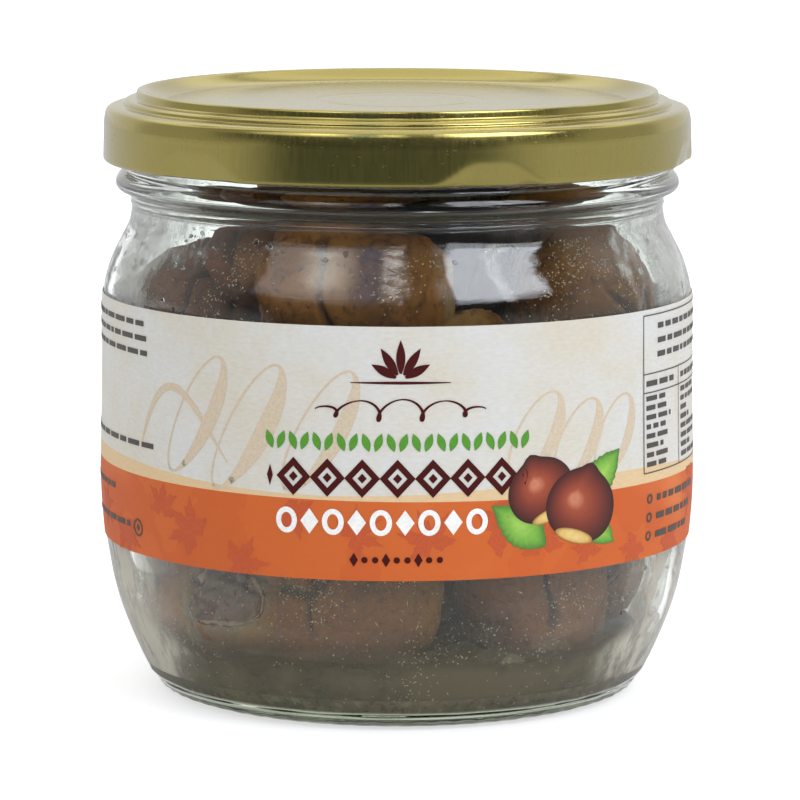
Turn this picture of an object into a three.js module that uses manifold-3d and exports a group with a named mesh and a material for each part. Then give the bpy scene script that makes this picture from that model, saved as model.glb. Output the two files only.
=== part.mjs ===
// A squat glass preserving jar of peeled roasted chestnuts, shut with a metal twist-off lid and
// wrapped in a paper label. Millimetres, +Z up, origin at the middle of the base, front towards -Y.
//
//   jar        one piece of pressed glass: pushed-up base, bulging body, waist and threaded finish
//   lid        twist-off cap with a stacking ring, a safety button and six lugs bent in at its hem
//   label      paper band glued round the straight part of the body
//   chestnuts  the heap of nuts that fills the jar, joined round a core

import * as THREE from "three";
import { mergeVertices } from "three/addons/utils/BufferGeometryUtils.js";
import Module from "manifold-3d";

const wasm = await Module();
wasm.setup();

// ---- Driving dimensions ---------------------------------------------------------------------

const ROUND_STEPS = 60; // facets round the jar, lid and label

// Jar
const BASE_RING = { inner: 30.6, outer: 33.0 }; // flat ring that the jar stands on
const PUSH_UP = 1.9; // how far the middle of the base is raised
const HEEL = { r: 35.4, z: 1.3 }; // where the rounded heel meets the body
const WALL = 2.3;
const FLOOR = 4.8; // height of the inside floor
const WAIST = { r: 38.85, z: 71 };
const BEAD = { r: 41.05, low: 73.9, high: 76.0 }; // transfer bead below the lid
const FINISH = { r: 40.0, bore: 36.5 }; // the ring of glass inside the lid
const RIM = 85.6; // height of the rim that the lid seals on
const THREAD = { r: 41.1, z: 80.3, half: 0.9 };

// Outside of the body from the heel to the waist, as [radius, height]: the curve runs through these
const BODY = [
  [HEEL.r, HEEL.z],
  [36.9, 3.5],
  [38.6, 7],
  [40.6, 12],
  [41.75, 16],
  [42.5, 20],
  [43.1, 24],
  [43.45, 30],
  [43.5, 35],
  [43.3, 43],
  [43.2, 52],
  [43.2, 57],
  [42.9, 60.2],
  [41.9, 63.5],
  [40.5, 66.4],
  [39.3, 68.8],
  [WAIST.r, WAIST.z],
];

// Label
const LABEL = { low: 23.1, high: 58.8, thick: 0.2, gap: 0.1 };

// Heights at which the body's curve is cut into facets; the label bends at the ones it covers
const LEVELS = [
  HEEL.z, 4, 8, 12.5, 17.5, LABEL.low, 28.5, 34, 46, LABEL.high, 61.5, 64, 66.5, 69, WAIST.z,
];

// Lid
const LID_R = 43.0;
const LID_TOP = 88.2;
const LID_BOTTOM = 77.9;
const SHEET = 0.3; // thickness of the metal
const HEM = 1.0; // width of the curl round the bottom
const PANEL = 86.35; // height of the flat panel inside the stacking ring
const BUTTON = { r: 11, dip: 0.35, ridge: 0.2 }; // safety button, drawn down by the vacuum
const LUGS = 6;
const LUG_FIRST = 20; // degrees from the front, towards +X
const LUG = { depth: 1.35, half: 13, tall: 3.6 }; // bend inwards, half width in degrees, height

// Chestnuts: half the width, thickness and height of a middling nut
const NUT = { wide: 13.4, thick: 10.2, tall: 12.6 };
const NUT_SIDES = 10;
const NUT_RINGS = 6;
const NUT_CLEARANCE = 0.35; // between the nuts and the glass
const CORE = { r: 20, low: 8, high: 68, steps: 20 };

// Each nut: degrees from the front towards +X, distance from the axis and height of its middle,
// size, then degrees of roll (its tip from up towards the right), lean and turn. Unturned, a nut
// stands on its base with its flat side to the glass.
const NUTS = [
  // bottom row, on the floor
  [-61, 28.4, 17.0, 0.96, 25, 8, 0],
  [-13, 29.0, 17.4, 1.0, 78, 0, 0],
  [42, 29.0, 16.6, 0.9, 5, -6, 10],
  [79, 28.6, 23.0, 1.0, 85, 0, 0],
  [122, 28.6, 17.2, 0.98, 150, 10, 0],
  [168, 28.4, 17.0, 1.02, 60, -8, 0],
  [-147, 28.6, 17.4, 0.98, 15, 6, 0],
  [-104, 28.6, 17.2, 0.94, 100, 0, 0],
  // second row, behind the label
  [-82, 29.6, 37.4, 1.0, 20, 0, 0],
  [-31, 29.8, 39.4, 1.02, 120, -6, 0],
  [20, 29.8, 46.2, 0.96, 85, 4, 0],
  [66, 29.6, 43.4, 1.0, 10, 0, 0],
  [116, 29.6, 40.2, 1.02, 70, 8, 0],
  [168, 29.6, 39.0, 1.0, 160, 0, 0],
  [-138, 29.6, 40.0, 1.04, 45, -8, 0],
  // third row, above the label
  [-75, 32.0, 55.2, 0.78, 5, 0, 84],
  [-14, 28.4, 59.6, 1.1, 78, 8, 0],
  [67, 30.8, 56.8, 0.86, 12, 6, 78],
  [104, 27.2, 63.0, 1.0, 75, 12, 0],
  [148, 27.8, 60.6, 1.02, 20, 8, 0],
  [-164, 27.8, 61.0, 1.0, 95, 10, 0],
  [-118, 27.2, 62.4, 1.04, 30, 12, 0],
  // in the gaps and on top
  [30, 15.0, 62.0, 1.0, 60, 20, 30],
  [-42, 14.0, 68.2, 1.0, 30, 78, 0],
  [82, 15.0, 68.2, 0.96, 110, 82, 0],
  [-152, 14.0, 68.0, 1.02, 60, 80, 0],
];

// ---- Helpers --------------------------------------------------------------------------------

const material = (color, roughness, metalness = 0) =>
  new THREE.MeshStandardMaterial({ color, roughness, metalness });

const degrees = THREE.MathUtils.degToRad;

const points = (pairs) => pairs.map(([r, z]) => new THREE.Vector2(r, z));

// Turns a closed [radius, height] outline about the Z axis.
function turned(outline) {
  const lathe = new THREE.LatheGeometry(points(outline), ROUND_STEPS);
  lathe.rotateX(Math.PI / 2);
  return lathe;
}

// Points on an arc about a centre, from one angle to another in degrees.
function arc([r, z], radius, from, to, count) {
  return Array.from({ length: count + 1 }, (_, i) => {
    const a = degrees(from + ((to - from) * i) / count);
    return [r + radius * Math.cos(a), z + radius * Math.sin(a)];
  });
}

function toSolid(geometry) {
  const bare = new THREE.BufferGeometry()
    .setAttribute("position", geometry.getAttribute("position"))
    .setIndex(geometry.index);
  const merged = mergeVertices(bare, 1e-4);
  return new wasm.Manifold(
    new wasm.Mesh({
      numProp: 3,
      vertProperties: merged.attributes.position.array,
      triVerts: new Uint32Array(merged.index.array),
    }),
  );
}

function toGeometry(solid) {
  const mesh = solid.getMesh();
  return new THREE.BufferGeometry()
    .setAttribute(
      "position",
      new THREE.BufferAttribute(new Float32Array(mesh.vertProperties), 3),
    )
    .setIndex(new THREE.BufferAttribute(new Uint32Array(mesh.triVerts), 1));
}

function named(name, geometry, look) {
  const mesh = new THREE.Mesh(geometry, look);
  mesh.name = name;
  return mesh;
}

// Radius of the body's outside at a height, read off its curve.
const bodyCurve = new THREE.SplineCurve(points(BODY)).getPoints(200);
function bodyRadius(height) {
  const i = Math.max(1, bodyCurve.findIndex((p) => p.y >= height));
  const [below, above] = [bodyCurve[i - 1], bodyCurve[i]];
  const share = (height - below.y) / (above.y - below.y);
  return THREE.MathUtils.lerp(below.x, above.x, share);
}

// ---- Jar ------------------------------------------------------------------------------------

// Inside of the jar from the middle of the floor up to the bore, drawn in by an allowance.
function cavity(allowance = 0) {
  const corner = [28.2, FLOOR + 7];
  const wall = [14, 23, 34, 46, 59, 65].map((z) => [
    bodyRadius(z) - WALL - allowance,
    z,
  ]);
  return [
    [0, FLOOR + allowance],
    [corner[0], FLOOR + allowance],
    ...arc(corner, 7, -50, -15, 2),
    ...wall,
    [FINISH.bore - allowance, WAIST.z],
  ];
}

function jar() {
  const base = [
    [0, PUSH_UP],
    [24, PUSH_UP * 0.7],
    [BASE_RING.inner, 0],
    [BASE_RING.outer, 0],
  ];
  const body = LEVELS.map((z) => [bodyRadius(z), z]);
  const bead = [
    [39.6, 73],
    [BEAD.r, BEAD.low],
    [BEAD.r, BEAD.high],
    [FINISH.r, BEAD.high + 0.5],
  ];
  const thread = [
    [FINISH.r, THREAD.z - THREAD.half],
    [THREAD.r, THREAD.z],
    [FINISH.r, THREAD.z + THREAD.half],
  ];
  const rim = [
    [FINISH.r, RIM - 1.2],
    [FINISH.r - 1, RIM],
    [FINISH.bore + 1.2, RIM],
    [FINISH.bore, RIM - 1.2],
  ];
  const inside = cavity().reverse();
  return turned([...base, ...body, ...bead, ...thread, ...rim, ...inside]);
}

// ---- Lid ------------------------------------------------------------------------------------

// Share of the full bend, from 0 to 1, that a lug has at a direction and height.
function lugBend(direction, height) {
  const pitch = 360 / LUGS;
  const turn = (((direction - LUG_FIRST) % pitch) + pitch) % pitch;
  const across = Math.min(turn, pitch - turn) / LUG.half;
  const up = Math.max(0, height - LID_BOTTOM - HEM) / LUG.tall;
  return THREE.MathUtils.smoothstep(1.15 - across - up, 0, 1);
}

function lid() {
  const outside = [
    [0, PANEL - BUTTON.dip],
    [BUTTON.r * 0.8, PANEL - BUTTON.dip * 0.8],
    [BUTTON.r, PANEL + BUTTON.ridge],
    [BUTTON.r + 2.5, PANEL],
    [35.4, PANEL],
    [36.4, LID_TOP - 0.6],
    [37.1, LID_TOP],
    [37.7, LID_TOP],
    [38.3, LID_TOP - 0.3],
    [39.3, 86.95],
    [41.4, 86.6],
    [42.5, 86.0],
    [LID_R, 84.9],
    [LID_R, 82.4],
    [LID_R, 80.2],
    [LID_R, LID_BOTTOM + 0.6],
    [LID_R - HEM * 0.35, LID_BOTTOM],
  ];
  const inside = [
    [LID_R - HEM, LID_BOTTOM + 0.3],
    [LID_R - HEM, LID_BOTTOM + HEM],
    [LID_R - SHEET, LID_BOTTOM + 2 * HEM],
    [LID_R - SHEET, 84.7],
    [41.5, RIM],
    [36.8, RIM],
    [35.7, PANEL - SHEET - 0.05],
    [0, PANEL - BUTTON.dip - SHEET],
  ];
  const shell = turned([...outside, ...inside].reverse());
  const at = shell.getAttribute("position");
  for (let i = 0; i < at.count; i++) {
    const [x, y, z] = [at.getX(i), at.getY(i), at.getZ(i)];
    const direction = THREE.MathUtils.radToDeg(Math.atan2(x, -y));
    const onSkirt = z < PANEL - 1.6 && Math.hypot(x, y) > 40;
    const bend = onSkirt ? LUG.depth * lugBend(direction, z) : 0;
    const share = 1 - bend / Math.hypot(x, y);
    if (onSkirt) at.setXY(i, x * share, y * share);
  }
  return shell;
}

// ---- Label ----------------------------------------------------------------------------------

function label() {
  const back = LEVELS.filter((z) => z >= LABEL.low && z <= LABEL.high).map(
    (z) => [bodyRadius(z) + LABEL.gap, z],
  );
  const front = back.map(([r, z]) => [r + LABEL.thick, z]).reverse();
  return turned([...back, ...front, back[0]].reverse());
}

// ---- Chestnuts ------------------------------------------------------------------------------

// One peeled nut about its own middle: plump, flatter on one side, with a blunt tip, a broad base
// and two grooves that run down from the tip.
function nutShape(size) {
  const ball = new THREE.SphereGeometry(1, NUT_SIDES, NUT_RINGS).rotateX(Math.PI / 2);
  const at = ball.getAttribute("position");
  const p = new THREE.Vector3();
  for (let i = 0; i < at.count; i++) {
    p.fromBufferAttribute(at, i);
    const round = Math.atan2(p.y, p.x);
    const waist = Math.hypot(p.x, p.y);
    const tip = 0.12 * THREE.MathUtils.smoothstep(p.z, 0.7, 1);
    const base = -0.12 * THREE.MathUtils.smoothstep(-p.z, 0.6, 1);
    const groove = -0.06 * waist * Math.max(0, Math.cos(2 * round + 0.6)) ** 4;
    const flat = p.y < 0 ? 0.84 : 1.06;
    p.multiplyScalar(size * (1 + tip + base + groove));
    at.setXYZ(i, p.x * NUT.wide, p.y * NUT.thick * flat, p.z * NUT.tall);
  }
  return ball;
}

function placedNut([direction, out, height, size, roll, lean, turn]) {
  const steps = [
    new THREE.Matrix4().makeRotationZ(degrees(direction)),
    new THREE.Matrix4().makeTranslation(0, -out, height),
    new THREE.Matrix4().makeRotationZ(degrees(turn)),
    new THREE.Matrix4().makeRotationX(degrees(lean)),
    new THREE.Matrix4().makeRotationY(degrees(roll)),
  ];
  const place = steps.reduce((all, step) => all.multiply(step));
  return nutShape(size).applyMatrix4(place);
}

function chestnuts() {
  const core = new THREE.LatheGeometry(
    points([
      [0, CORE.low],
      [CORE.r - 4, CORE.low],
      [CORE.r, CORE.low + 8],
      [CORE.r, CORE.high - 8],
      [CORE.r - 6, CORE.high],
      [0, CORE.high],
    ]),
    CORE.steps,
  ).rotateX(Math.PI / 2);
  const room = turned([...cavity(NUT_CLEARANCE), [35.8, 84], [0, 84]]);
  const heap = NUTS.map(placedNut)
    .map(toSolid)
    .reduce((all, nut) => all.add(nut), toSolid(core))
    .intersect(toSolid(room));
  const [largest] = heap
    .decompose()
    .sort((a, b) => b.volume() - a.volume());
  return toGeometry(largest);
}

// ---- Assembly -------------------------------------------------------------------------------

const group = new THREE.Group();
group.add(
  named("jar", jar(), material(0xdfe6e0, 0.05)),
  named("lid", lid(), material(0xa99b5c, 0.35, 1)),
  named("label", label(), material(0xd9d3c4, 0.8)),
  named("chestnuts", chestnuts(), material(0x6b4a2e, 0.6)),
);

export default group;
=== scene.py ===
"""Dresses the jar of roasted chestnuts: fine glass, gold lid, printed paper label, nuts and residue.

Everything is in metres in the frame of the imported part: +Z up, the middle of the base at the
origin, the front of the label towards -Y. Angles round the jar are counted from the front
towards +X. Outlines are lists of (radius, height) in millimetres.
"""

import math
import random

import bmesh
import bpy
import numpy as np
from bpy.props import FloatProperty, FloatVectorProperty, IntProperty, PointerProperty
from mathutils import Matrix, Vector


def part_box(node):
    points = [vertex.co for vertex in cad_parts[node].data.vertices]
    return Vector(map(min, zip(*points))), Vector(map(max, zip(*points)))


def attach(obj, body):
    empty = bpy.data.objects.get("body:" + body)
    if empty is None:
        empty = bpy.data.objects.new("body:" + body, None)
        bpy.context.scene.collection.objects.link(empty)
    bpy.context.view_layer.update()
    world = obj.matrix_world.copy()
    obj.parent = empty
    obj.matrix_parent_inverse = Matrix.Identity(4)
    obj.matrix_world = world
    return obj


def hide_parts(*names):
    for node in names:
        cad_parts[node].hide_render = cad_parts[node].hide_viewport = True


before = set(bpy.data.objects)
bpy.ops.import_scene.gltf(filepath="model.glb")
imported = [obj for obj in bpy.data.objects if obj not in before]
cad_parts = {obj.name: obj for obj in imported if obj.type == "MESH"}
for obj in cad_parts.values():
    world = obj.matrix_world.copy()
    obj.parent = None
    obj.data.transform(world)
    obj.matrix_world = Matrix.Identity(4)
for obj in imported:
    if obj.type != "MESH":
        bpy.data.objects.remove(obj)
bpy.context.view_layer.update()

bl_info = {
    "name": "Jar of roasted chestnuts",
    "version": (1, 0, 0),
    "blender": (4, 5, 0),
    "location": "View3D > Sidebar > Chestnut jar",
    "description": "Makes the glass, lid, label, nuts and studio of a jar of roasted chestnuts",
    "category": "Add Mesh",
}

MM = 0.001
LABEL_LOW, LABEL_HIGH = (corner.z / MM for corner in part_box("label"))
LID_BOTTOM, LID_TOP = (corner.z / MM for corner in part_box("lid"))
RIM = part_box("jar")[1].z / MM
SEED = 7

# ---- Outlines of the glass and the lid --------------------------------------------------------

ROUND_STEPS = 320

# Outside of the body from the heel to the waist: a smooth curve runs through these.
BODY = [
    (35.4, 1.3), (36.9, 3.5), (38.6, 7), (40.6, 12), (41.75, 16), (42.5, 20), (43.1, 24),
    (43.45, 30), (43.5, 35), (43.3, 43), (43.2, 52), (43.2, 57), (42.9, 60.2), (41.9, 63.5),
    (40.5, 66.4), (39.3, 68.8), (38.85, 71),
]
BORE = 36.5  # inside radius of the neck
FINISH_RADIUS = 40.0  # outside radius of the neck where the lid sits, between its thread and bead


def colour(red, green, blue, alpha=1.0):
    """A colour given as the 0 to 255 values of a screen, as Blender's linear numbers."""
    linear = [((c / 255 + 0.055) / 1.055) ** 2.4 if c > 10 else c / 3295 for c in (red, green, blue)]
    return (*linear, alpha)


def spline(points, per_span=8):
    """Points on a smooth curve that runs through the given ones."""
    p = np.array(points, float)
    p = np.vstack([2 * p[0] - p[1], p, 2 * p[-1] - p[-2]])
    t = np.linspace(0, 1, per_span, endpoint=False)[:, None]
    spans = []
    for a, b, c, d in zip(p, p[1:], p[2:], p[3:]):
        cubic = 3 * b - a - 3 * c + d
        spans.append(b + 0.5 * t * (c - a + t * (2 * a - 5 * b + 4 * c - d + t * cubic)))
    return np.vstack([*spans, p[-2:-1]])


BODY_CURVE = spline(BODY, 5)


def body_radius(height):
    """Outside radius of the glass body at a height, both in millimetres."""
    return np.interp(height, BODY_CURVE[:, 1], BODY_CURVE[:, 0])


def arc(centre, radius, start, end, count):
    """Points on an arc, with its angles in degrees from outwards towards upwards."""
    turn = np.radians(np.linspace(start, end, count))
    return [(centre[0] + radius * math.cos(a), centre[1] + radius * math.sin(a)) for a in turn]


def inside_outline(sizes, inset=0.0):
    """The glass's inside from the middle of its floor up to the bore, moved in by inset.

    Its first 29 points are the floor and the curve at its edge, the next 34 the wall and the last
    3 the neck. Callers that need only a stretch of it count on that.
    """
    wall, floor = sizes.wall / MM, sizes.floor / MM
    bottom = spline(
        [(0, floor + 2.2), (11, floor + 1.9), (21, floor + 1.1), (27.5, floor + 0.3),
         (31.2, floor), (33.4, floor + 0.6), (35.0, floor + 2.2), (36.2, floor + 4.3)], 4
    )
    bottom = [(r - inset * min(1, r / 20), z + inset) for r, z in bottom]
    up = [(body_radius(z) - wall - inset, z) for z in np.linspace(floor + 7.5, 65, 34)]
    neck = [(37.6 - inset, 67.4), (36.85 - inset, 69.3), (BORE - inset, 71.5)]
    return [*bottom, *up, *neck]


def glass_outline(sizes):
    """The whole glass, from the middle of its underside, up the outside and down the inside."""
    base = spline([(0, 1.9), (12, 1.75), (24, 1.15), (28.6, 0.42), (30.4, 0.06)], 5)
    foot = [(30.8, 0), (31.7, 0), (32.9, 0.14), (34.1, 0.48), (34.9, 0.85)]
    seam = [(38.9, 71.68), (39.06, 71.88), (38.94, 72.08)]
    bead = spline([(38.98, 72.5), (39.25, 73.0), (39.95, 73.45), (40.75, 73.85), (41.15, 74.4),
                   (41.15, 75.1), (40.85, 75.8), (40.35, 76.35), (FINISH_RADIUS, 76.8)], 4)
    thread = spline([(FINISH_RADIUS, 79.1), (40.5, 79.6), (41.0, 80.3), (40.5, 81.0),
                     (FINISH_RADIUS, 81.5)], 3)
    rim = [*arc((38.9, RIM - 1.1), 1.1, 0, 90, 7), *arc((37.5, RIM - 1.0), 1.0, 90, 180, 7)]
    inside = inside_outline(sizes)[::-1]
    heel = spline([(35.2, 1.05), (35.42, 1.4), (35.5, 1.62), (35.76, 1.84), (36.02, 2.1), (36.14, 2.4),
                   (36.24, 2.62), (36.5, 2.85), (36.74, 3.18)], 2)
    return [*base, *foot, *heel, *BODY_CURVE[5:], *seam, *bead, *thread, *rim, *inside]


def lid_outline(sheet):
    """The lid, from the middle of its top, round its hem and back along its underside.

    The button and the ring are given by how far they lie below the lid's highest point.
    """
    panel = -1.85
    button = spline([(0, panel - 0.14), (6, panel - 0.13), (9, panel - 0.09), (10.6, panel + 0.02),
                     (11.8, panel + 0.06), (13.2, panel + 0.02), (15, panel)], 3)
    ring = spline([(33.4, panel), (34.1, -1.8), (35.0, -1.45), (35.9, -0.92), (36.6, -0.42),
                   (37.0, -0.17), (37.45, -0.05), (37.85, -0.1), (38.02, -0.24), (38.1, -0.5),
                   (38.17, -0.85), (38.24, -1.15), (38.45, -1.3), (38.9, -1.34), (39.3, -1.38),
                   (39.6, -1.46), (39.9, -1.66), (40.0, -1.84), (40.04, -2.06), (40.2, -2.2),
                   (40.6, -2.25), (41.1, -2.28), (41.6, -2.36), (42.1, -2.52), (42.42, -2.76),
                   (42.61, -3.14), (42.74, -3.68), (42.83, -4.2), (42.88, -4.6)], 4)
    skirt = [(43.0 - 0.12 * t, LID_BOTTOM + 0.6 + 4.4 * t) for t in np.linspace(1, 0, 12)[:-1]]
    top = [*((r, LID_TOP + drop) for r, drop in (*button, *ring)), *skirt]
    hem = arc((42.45, LID_BOTTOM + 0.55), 0.55, 0, -250, 16)
    ahead = np.gradient(np.array(top), axis=0)
    inwards = np.stack([ahead[:, 1], -ahead[:, 0]], 1)
    inwards /= np.linalg.norm(inwards, axis=1)[:, None]
    under = np.array(top) + inwards * sheet
    under[0] = (0, top[0][1] - sheet)
    return [*top, *hem, *under[::-1]]


# ---- Building meshes --------------------------------------------------------------------------


def smooth(x, low, high):
    """0 below low, 1 above high, and a smooth step between them."""
    t = np.clip((x - low) / (high - low), 0, 1)
    return t * t * (3 - 2 * t)


def ripples(points, size, seed, waves=24):
    """Soft noise about 1 high, with lumps about one size across, as a sum of seeded waves."""
    rng = np.random.default_rng(seed)
    ways = rng.normal(size=(waves, 3))
    ways /= np.linalg.norm(ways, axis=1)[:, None]
    pitch = math.tau / (size * rng.uniform(1.3, 2.8, waves))
    phase = rng.uniform(0, math.tau, waves)
    return np.sin(points @ (ways * pitch[:, None]).T + phase).sum(1) / math.sqrt(waves / 2)


def new_mesh(name, points, faces, edges=()):
    """A mesh from rows of x, y, z and the corners of its faces."""
    mesh = bpy.data.meshes.new(name)
    mesh.from_pydata(np.asarray(points, float).tolist(), list(edges), list(faces))
    return mesh


def close_bmesh(bm, name):
    """The mesh that a finished bmesh becomes."""
    mesh = bpy.data.meshes.new(name)
    bm.to_mesh(mesh)
    bm.free()
    return mesh


def get_points(mesh):
    """The mesh's vertices as rows of x, y, z."""
    flat = np.empty(len(mesh.vertices) * 3)
    mesh.vertices.foreach_get("co", flat)
    return flat.reshape(-1, 3)


def set_points(mesh, points):
    """Moves the mesh's vertices to rows of x, y, z."""
    mesh.vertices.foreach_set("co", np.ascontiguousarray(points, float).ravel())
    mesh.update()


def polar(points):
    """How far each point is from the axis, and its angle from the front towards +X."""
    return np.hypot(points[:, 0], points[:, 1]), np.arctan2(points[:, 0], -points[:, 1])


def set_attribute(mesh, name, values):
    """Stores a colour, red, green and blue, on each vertex."""
    layer = mesh.color_attributes.new(name, "FLOAT_COLOR", "POINT")
    rgba = np.ones((len(mesh.vertices), 4))
    rgba[:, :3] = values
    layer.data.foreach_set("color", rgba.ravel())


def add_object(name, mesh, material=None, crisp=None):
    """Links a mesh as an object, shaded smooth except across edges sharper than crisp degrees."""
    obj = bpy.data.objects.new(name, mesh)
    mesh.name = name
    bpy.context.scene.collection.objects.link(obj)
    if material:
        mesh.materials.clear()
        mesh.materials.append(material)
    mesh.shade_smooth()
    if crisp:
        mesh.set_sharp_from_angle(angle=math.radians(crisp))
    return obj


def remove(*objects):
    """Takes scratch objects out of the scene."""
    for obj in objects:
        bpy.data.objects.remove(obj)


def add_node(tree, kind, inputs=(), **settings):
    """Adds a node, sets it, and gives its inputs values or the sockets they come from."""
    made = tree.nodes.new(kind)
    for key, value in settings.items():
        setattr(made, key, value)
    for key, value in dict(inputs).items():
        if isinstance(value, bpy.types.NodeSocket):
            tree.links.new(value, made.inputs[key])
        else:
            made.inputs[key].default_value = value
    return made


def math_node(tree, operation, *values):
    """A Math node's output."""
    return add_node(tree, "ShaderNodeMath", enumerate(values), operation=operation).outputs[0]


def named_inputs(tree, **kinds):
    """Gives a geometry tree its named inputs and one output, and returns the two end nodes."""
    for name, kind in kinds.items():
        tree.interface.new_socket(name, in_out="INPUT", socket_type="NodeSocket" + kind)
    tree.interface.new_socket("Result", in_out="OUTPUT", socket_type="NodeSocketGeometry")
    return tree.nodes.new("NodeGroupInput"), tree.nodes.new("NodeGroupOutput")


def close_tree(tree, geometry, material, end):
    """Realizes the instances, sets the material and links the tree's end."""
    real = add_node(tree, "GeometryNodeRealizeInstances", {"Geometry": geometry})
    painted = add_node(
        tree, "GeometryNodeSetMaterial", {"Geometry": real.outputs[0], "Material": material}
    )
    tree.links.new(painted.outputs[0], end.inputs[0])


def run_tree(tree, obj, **values):
    """The plain mesh that a geometry tree makes of an object, with its inputs set by name."""
    modifier = obj.modifiers.new(tree.name, "NODES")
    modifier.node_group = tree
    for item in tree.interface.items_tree:
        if item.in_out == "INPUT" and item.name in values:
            modifier[item.identifier] = values[item.name]
    graph = bpy.context.evaluated_depsgraph_get()
    mesh = bpy.data.meshes.new_from_object(obj.evaluated_get(graph), depsgraph=graph)
    obj.modifiers.remove(modifier)
    return mesh


def revolve_tree():
    """A tree that turns a chain of vertices, in the plane of X and Z, round the Z axis."""
    tree = bpy.data.node_groups.new("Revolve outline", "GeometryNodeTree")
    start, end = named_inputs(tree, Outline="Geometry", Steps="Int", Finish="Material")
    outline = start.outputs["Outline"]
    count = add_node(tree, "GeometryNodeAttributeDomainSize", {"Geometry": outline}).outputs[0]
    columns = math_node(tree, "ADD", start.outputs["Steps"], 1)
    grid = add_node(
        tree,
        "GeometryNodeMeshGrid",
        {"Size X": 1, "Size Y": 1, "Vertices X": columns, "Vertices Y": count},
    )
    place = add_node(tree, "GeometryNodeInputPosition").outputs[0]
    flat = add_node(tree, "ShaderNodeSeparateXYZ", {0: place})
    last = math_node(tree, "SUBTRACT", count, 1)
    row = math_node(tree, "MULTIPLY", math_node(tree, "ADD", flat.outputs["Y"], 0.5), last)
    sample = add_node(
        tree,
        "GeometryNodeSampleIndex",
        {"Geometry": outline, "Value": place, "Index": math_node(tree, "ROUND", row)},
        data_type="FLOAT_VECTOR",
        domain="POINT",
    )
    point = add_node(tree, "ShaderNodeSeparateXYZ", {0: sample.outputs[0]})
    turn = math_node(tree, "MULTIPLY", math_node(tree, "ADD", flat.outputs["X"], 0.5), math.tau)
    radius = point.outputs["X"]
    across = math_node(tree, "MULTIPLY", radius, math_node(tree, "SINE", turn))
    back = math_node(tree, "MULTIPLY", radius, math_node(tree, "COSINE", turn))
    away = math_node(tree, "MULTIPLY", back, -1)
    spot = add_node(tree, "ShaderNodeCombineXYZ", {"X": across, "Y": away, "Z": point.outputs["Z"]})
    bent = add_node(
        tree, "GeometryNodeSetPosition", {"Geometry": grid.outputs[0], "Position": spot.outputs[0]}
    )
    whole = add_node(
        tree, "GeometryNodeMergeByDistance", {"Geometry": bent.outputs[0], "Distance": 1e-6}
    )
    close_tree(tree, whole.outputs[0], start.outputs["Finish"], end)
    return tree


def revolve(outline, material, steps=ROUND_STEPS):
    """A closed mesh turned from an outline in millimetres that ends on the axis or on itself."""
    tree = bpy.data.node_groups.get("Revolve outline") or revolve_tree()
    chain = [(r * MM, 0, z * MM) for r, z in outline]
    links = [(i, i + 1) for i in range(len(chain) - 1)]
    stand_in = add_object("outline", new_mesh("outline", chain, [], links))
    made = run_tree(tree, stand_in, Steps=steps, Finish=material)
    remove(stand_in)
    face_outwards(made)
    return made


def face_outwards(mesh):
    """Turns the faces of closed shells outwards."""
    bm = bmesh.new()
    bm.from_mesh(mesh)
    bmesh.ops.recalc_face_normals(bm, faces=bm.faces)
    bm.to_mesh(mesh)
    bm.free()


def keep(obj, slot, *nodes):
    """Hands a finished piece to the frame: hangs it on the root body and hides the nodes it stands for;
    slot is not used.
    """
    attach(obj, "root")
    if nodes:
        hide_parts(*nodes)


# ---- Materials --------------------------------------------------------------------------------


class Finish:
    """A material under construction, with short ways to add the nodes that most finishes need."""

    def __init__(self, name):
        self.material = bpy.data.materials.new(name)
        self.material.use_nodes = True
        self.tree = self.material.node_tree
        self.shader = self.tree.nodes["Principled BSDF"]

    def set(self, **values):
        """Sets the shader's sockets, or links them where the value is a socket."""
        for key, value in values.items():
            socket = self.shader.inputs[key.replace("_", " ").title().replace("Ior", "IOR")]
            if isinstance(value, bpy.types.NodeSocket):
                self.tree.links.new(value, socket)
            else:
                socket.default_value = value
        return self

    def place(self):
        """Object coordinates."""
        return add_node(self.tree, "ShaderNodeTexCoord").outputs["Object"]

    def axes(self, where):
        """The x, y and z of coordinates."""
        return add_node(self.tree, "ShaderNodeSeparateXYZ", {0: where}).outputs

    def attribute(self, name):
        """A colour stored on the vertices."""
        return add_node(self.tree, "ShaderNodeVertexColor", layer_name=name).outputs[0]

    def scaled(self, where, x, y, z):
        """Coordinates stretched along each axis."""
        return add_node(self.tree, "ShaderNodeMapping", {"Vector": where, "Scale": (x, y, z)}).outputs[0]

    def noise(self, where, scale, detail=3, rough=0.5):
        """Noise from 0 to 1."""
        inputs = {"Vector": where, "Scale": scale, "Detail": detail, "Roughness": rough}
        return add_node(self.tree, "ShaderNodeTexNoise", inputs).outputs[0]

    def math(self, operation, *values):
        """A Math node's output."""
        return math_node(self.tree, operation, *values)

    def times(self, first, *others):
        """The product of all the values."""
        for other in others:
            first = self.math("MULTIPLY", first, other)
        return first

    def step(self, value, low, high, to_low=0.0, to_high=1.0):
        """A value moved smoothly from one range to another, and held at its ends."""
        inputs = {0: value, 1: low, 2: high, 3: to_low, 4: to_high}
        kind = "ShaderNodeMapRange"
        return add_node(self.tree, kind, inputs, interpolation_type="SMOOTHSTEP").outputs[0]

    def mix(self, share, first, second, blend="MIX"):
        """Two colours mixed by a share."""
        inputs = {0: share, 6: first, 7: second}
        made = add_node(self.tree, "ShaderNodeMix", inputs, data_type="RGBA", blend_type=blend)
        return made.outputs[2]

    def bump(self, height, depth, strength=1.0):
        """Low relief from a height of 0 to 1, depth metres deep."""
        inputs = {"Height": height, "Distance": depth, "Strength": strength}
        made = add_node(self.tree, "ShaderNodeBump", inputs)
        self.tree.links.new(made.outputs[0], self.shader.inputs["Normal"])
        return self


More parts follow.
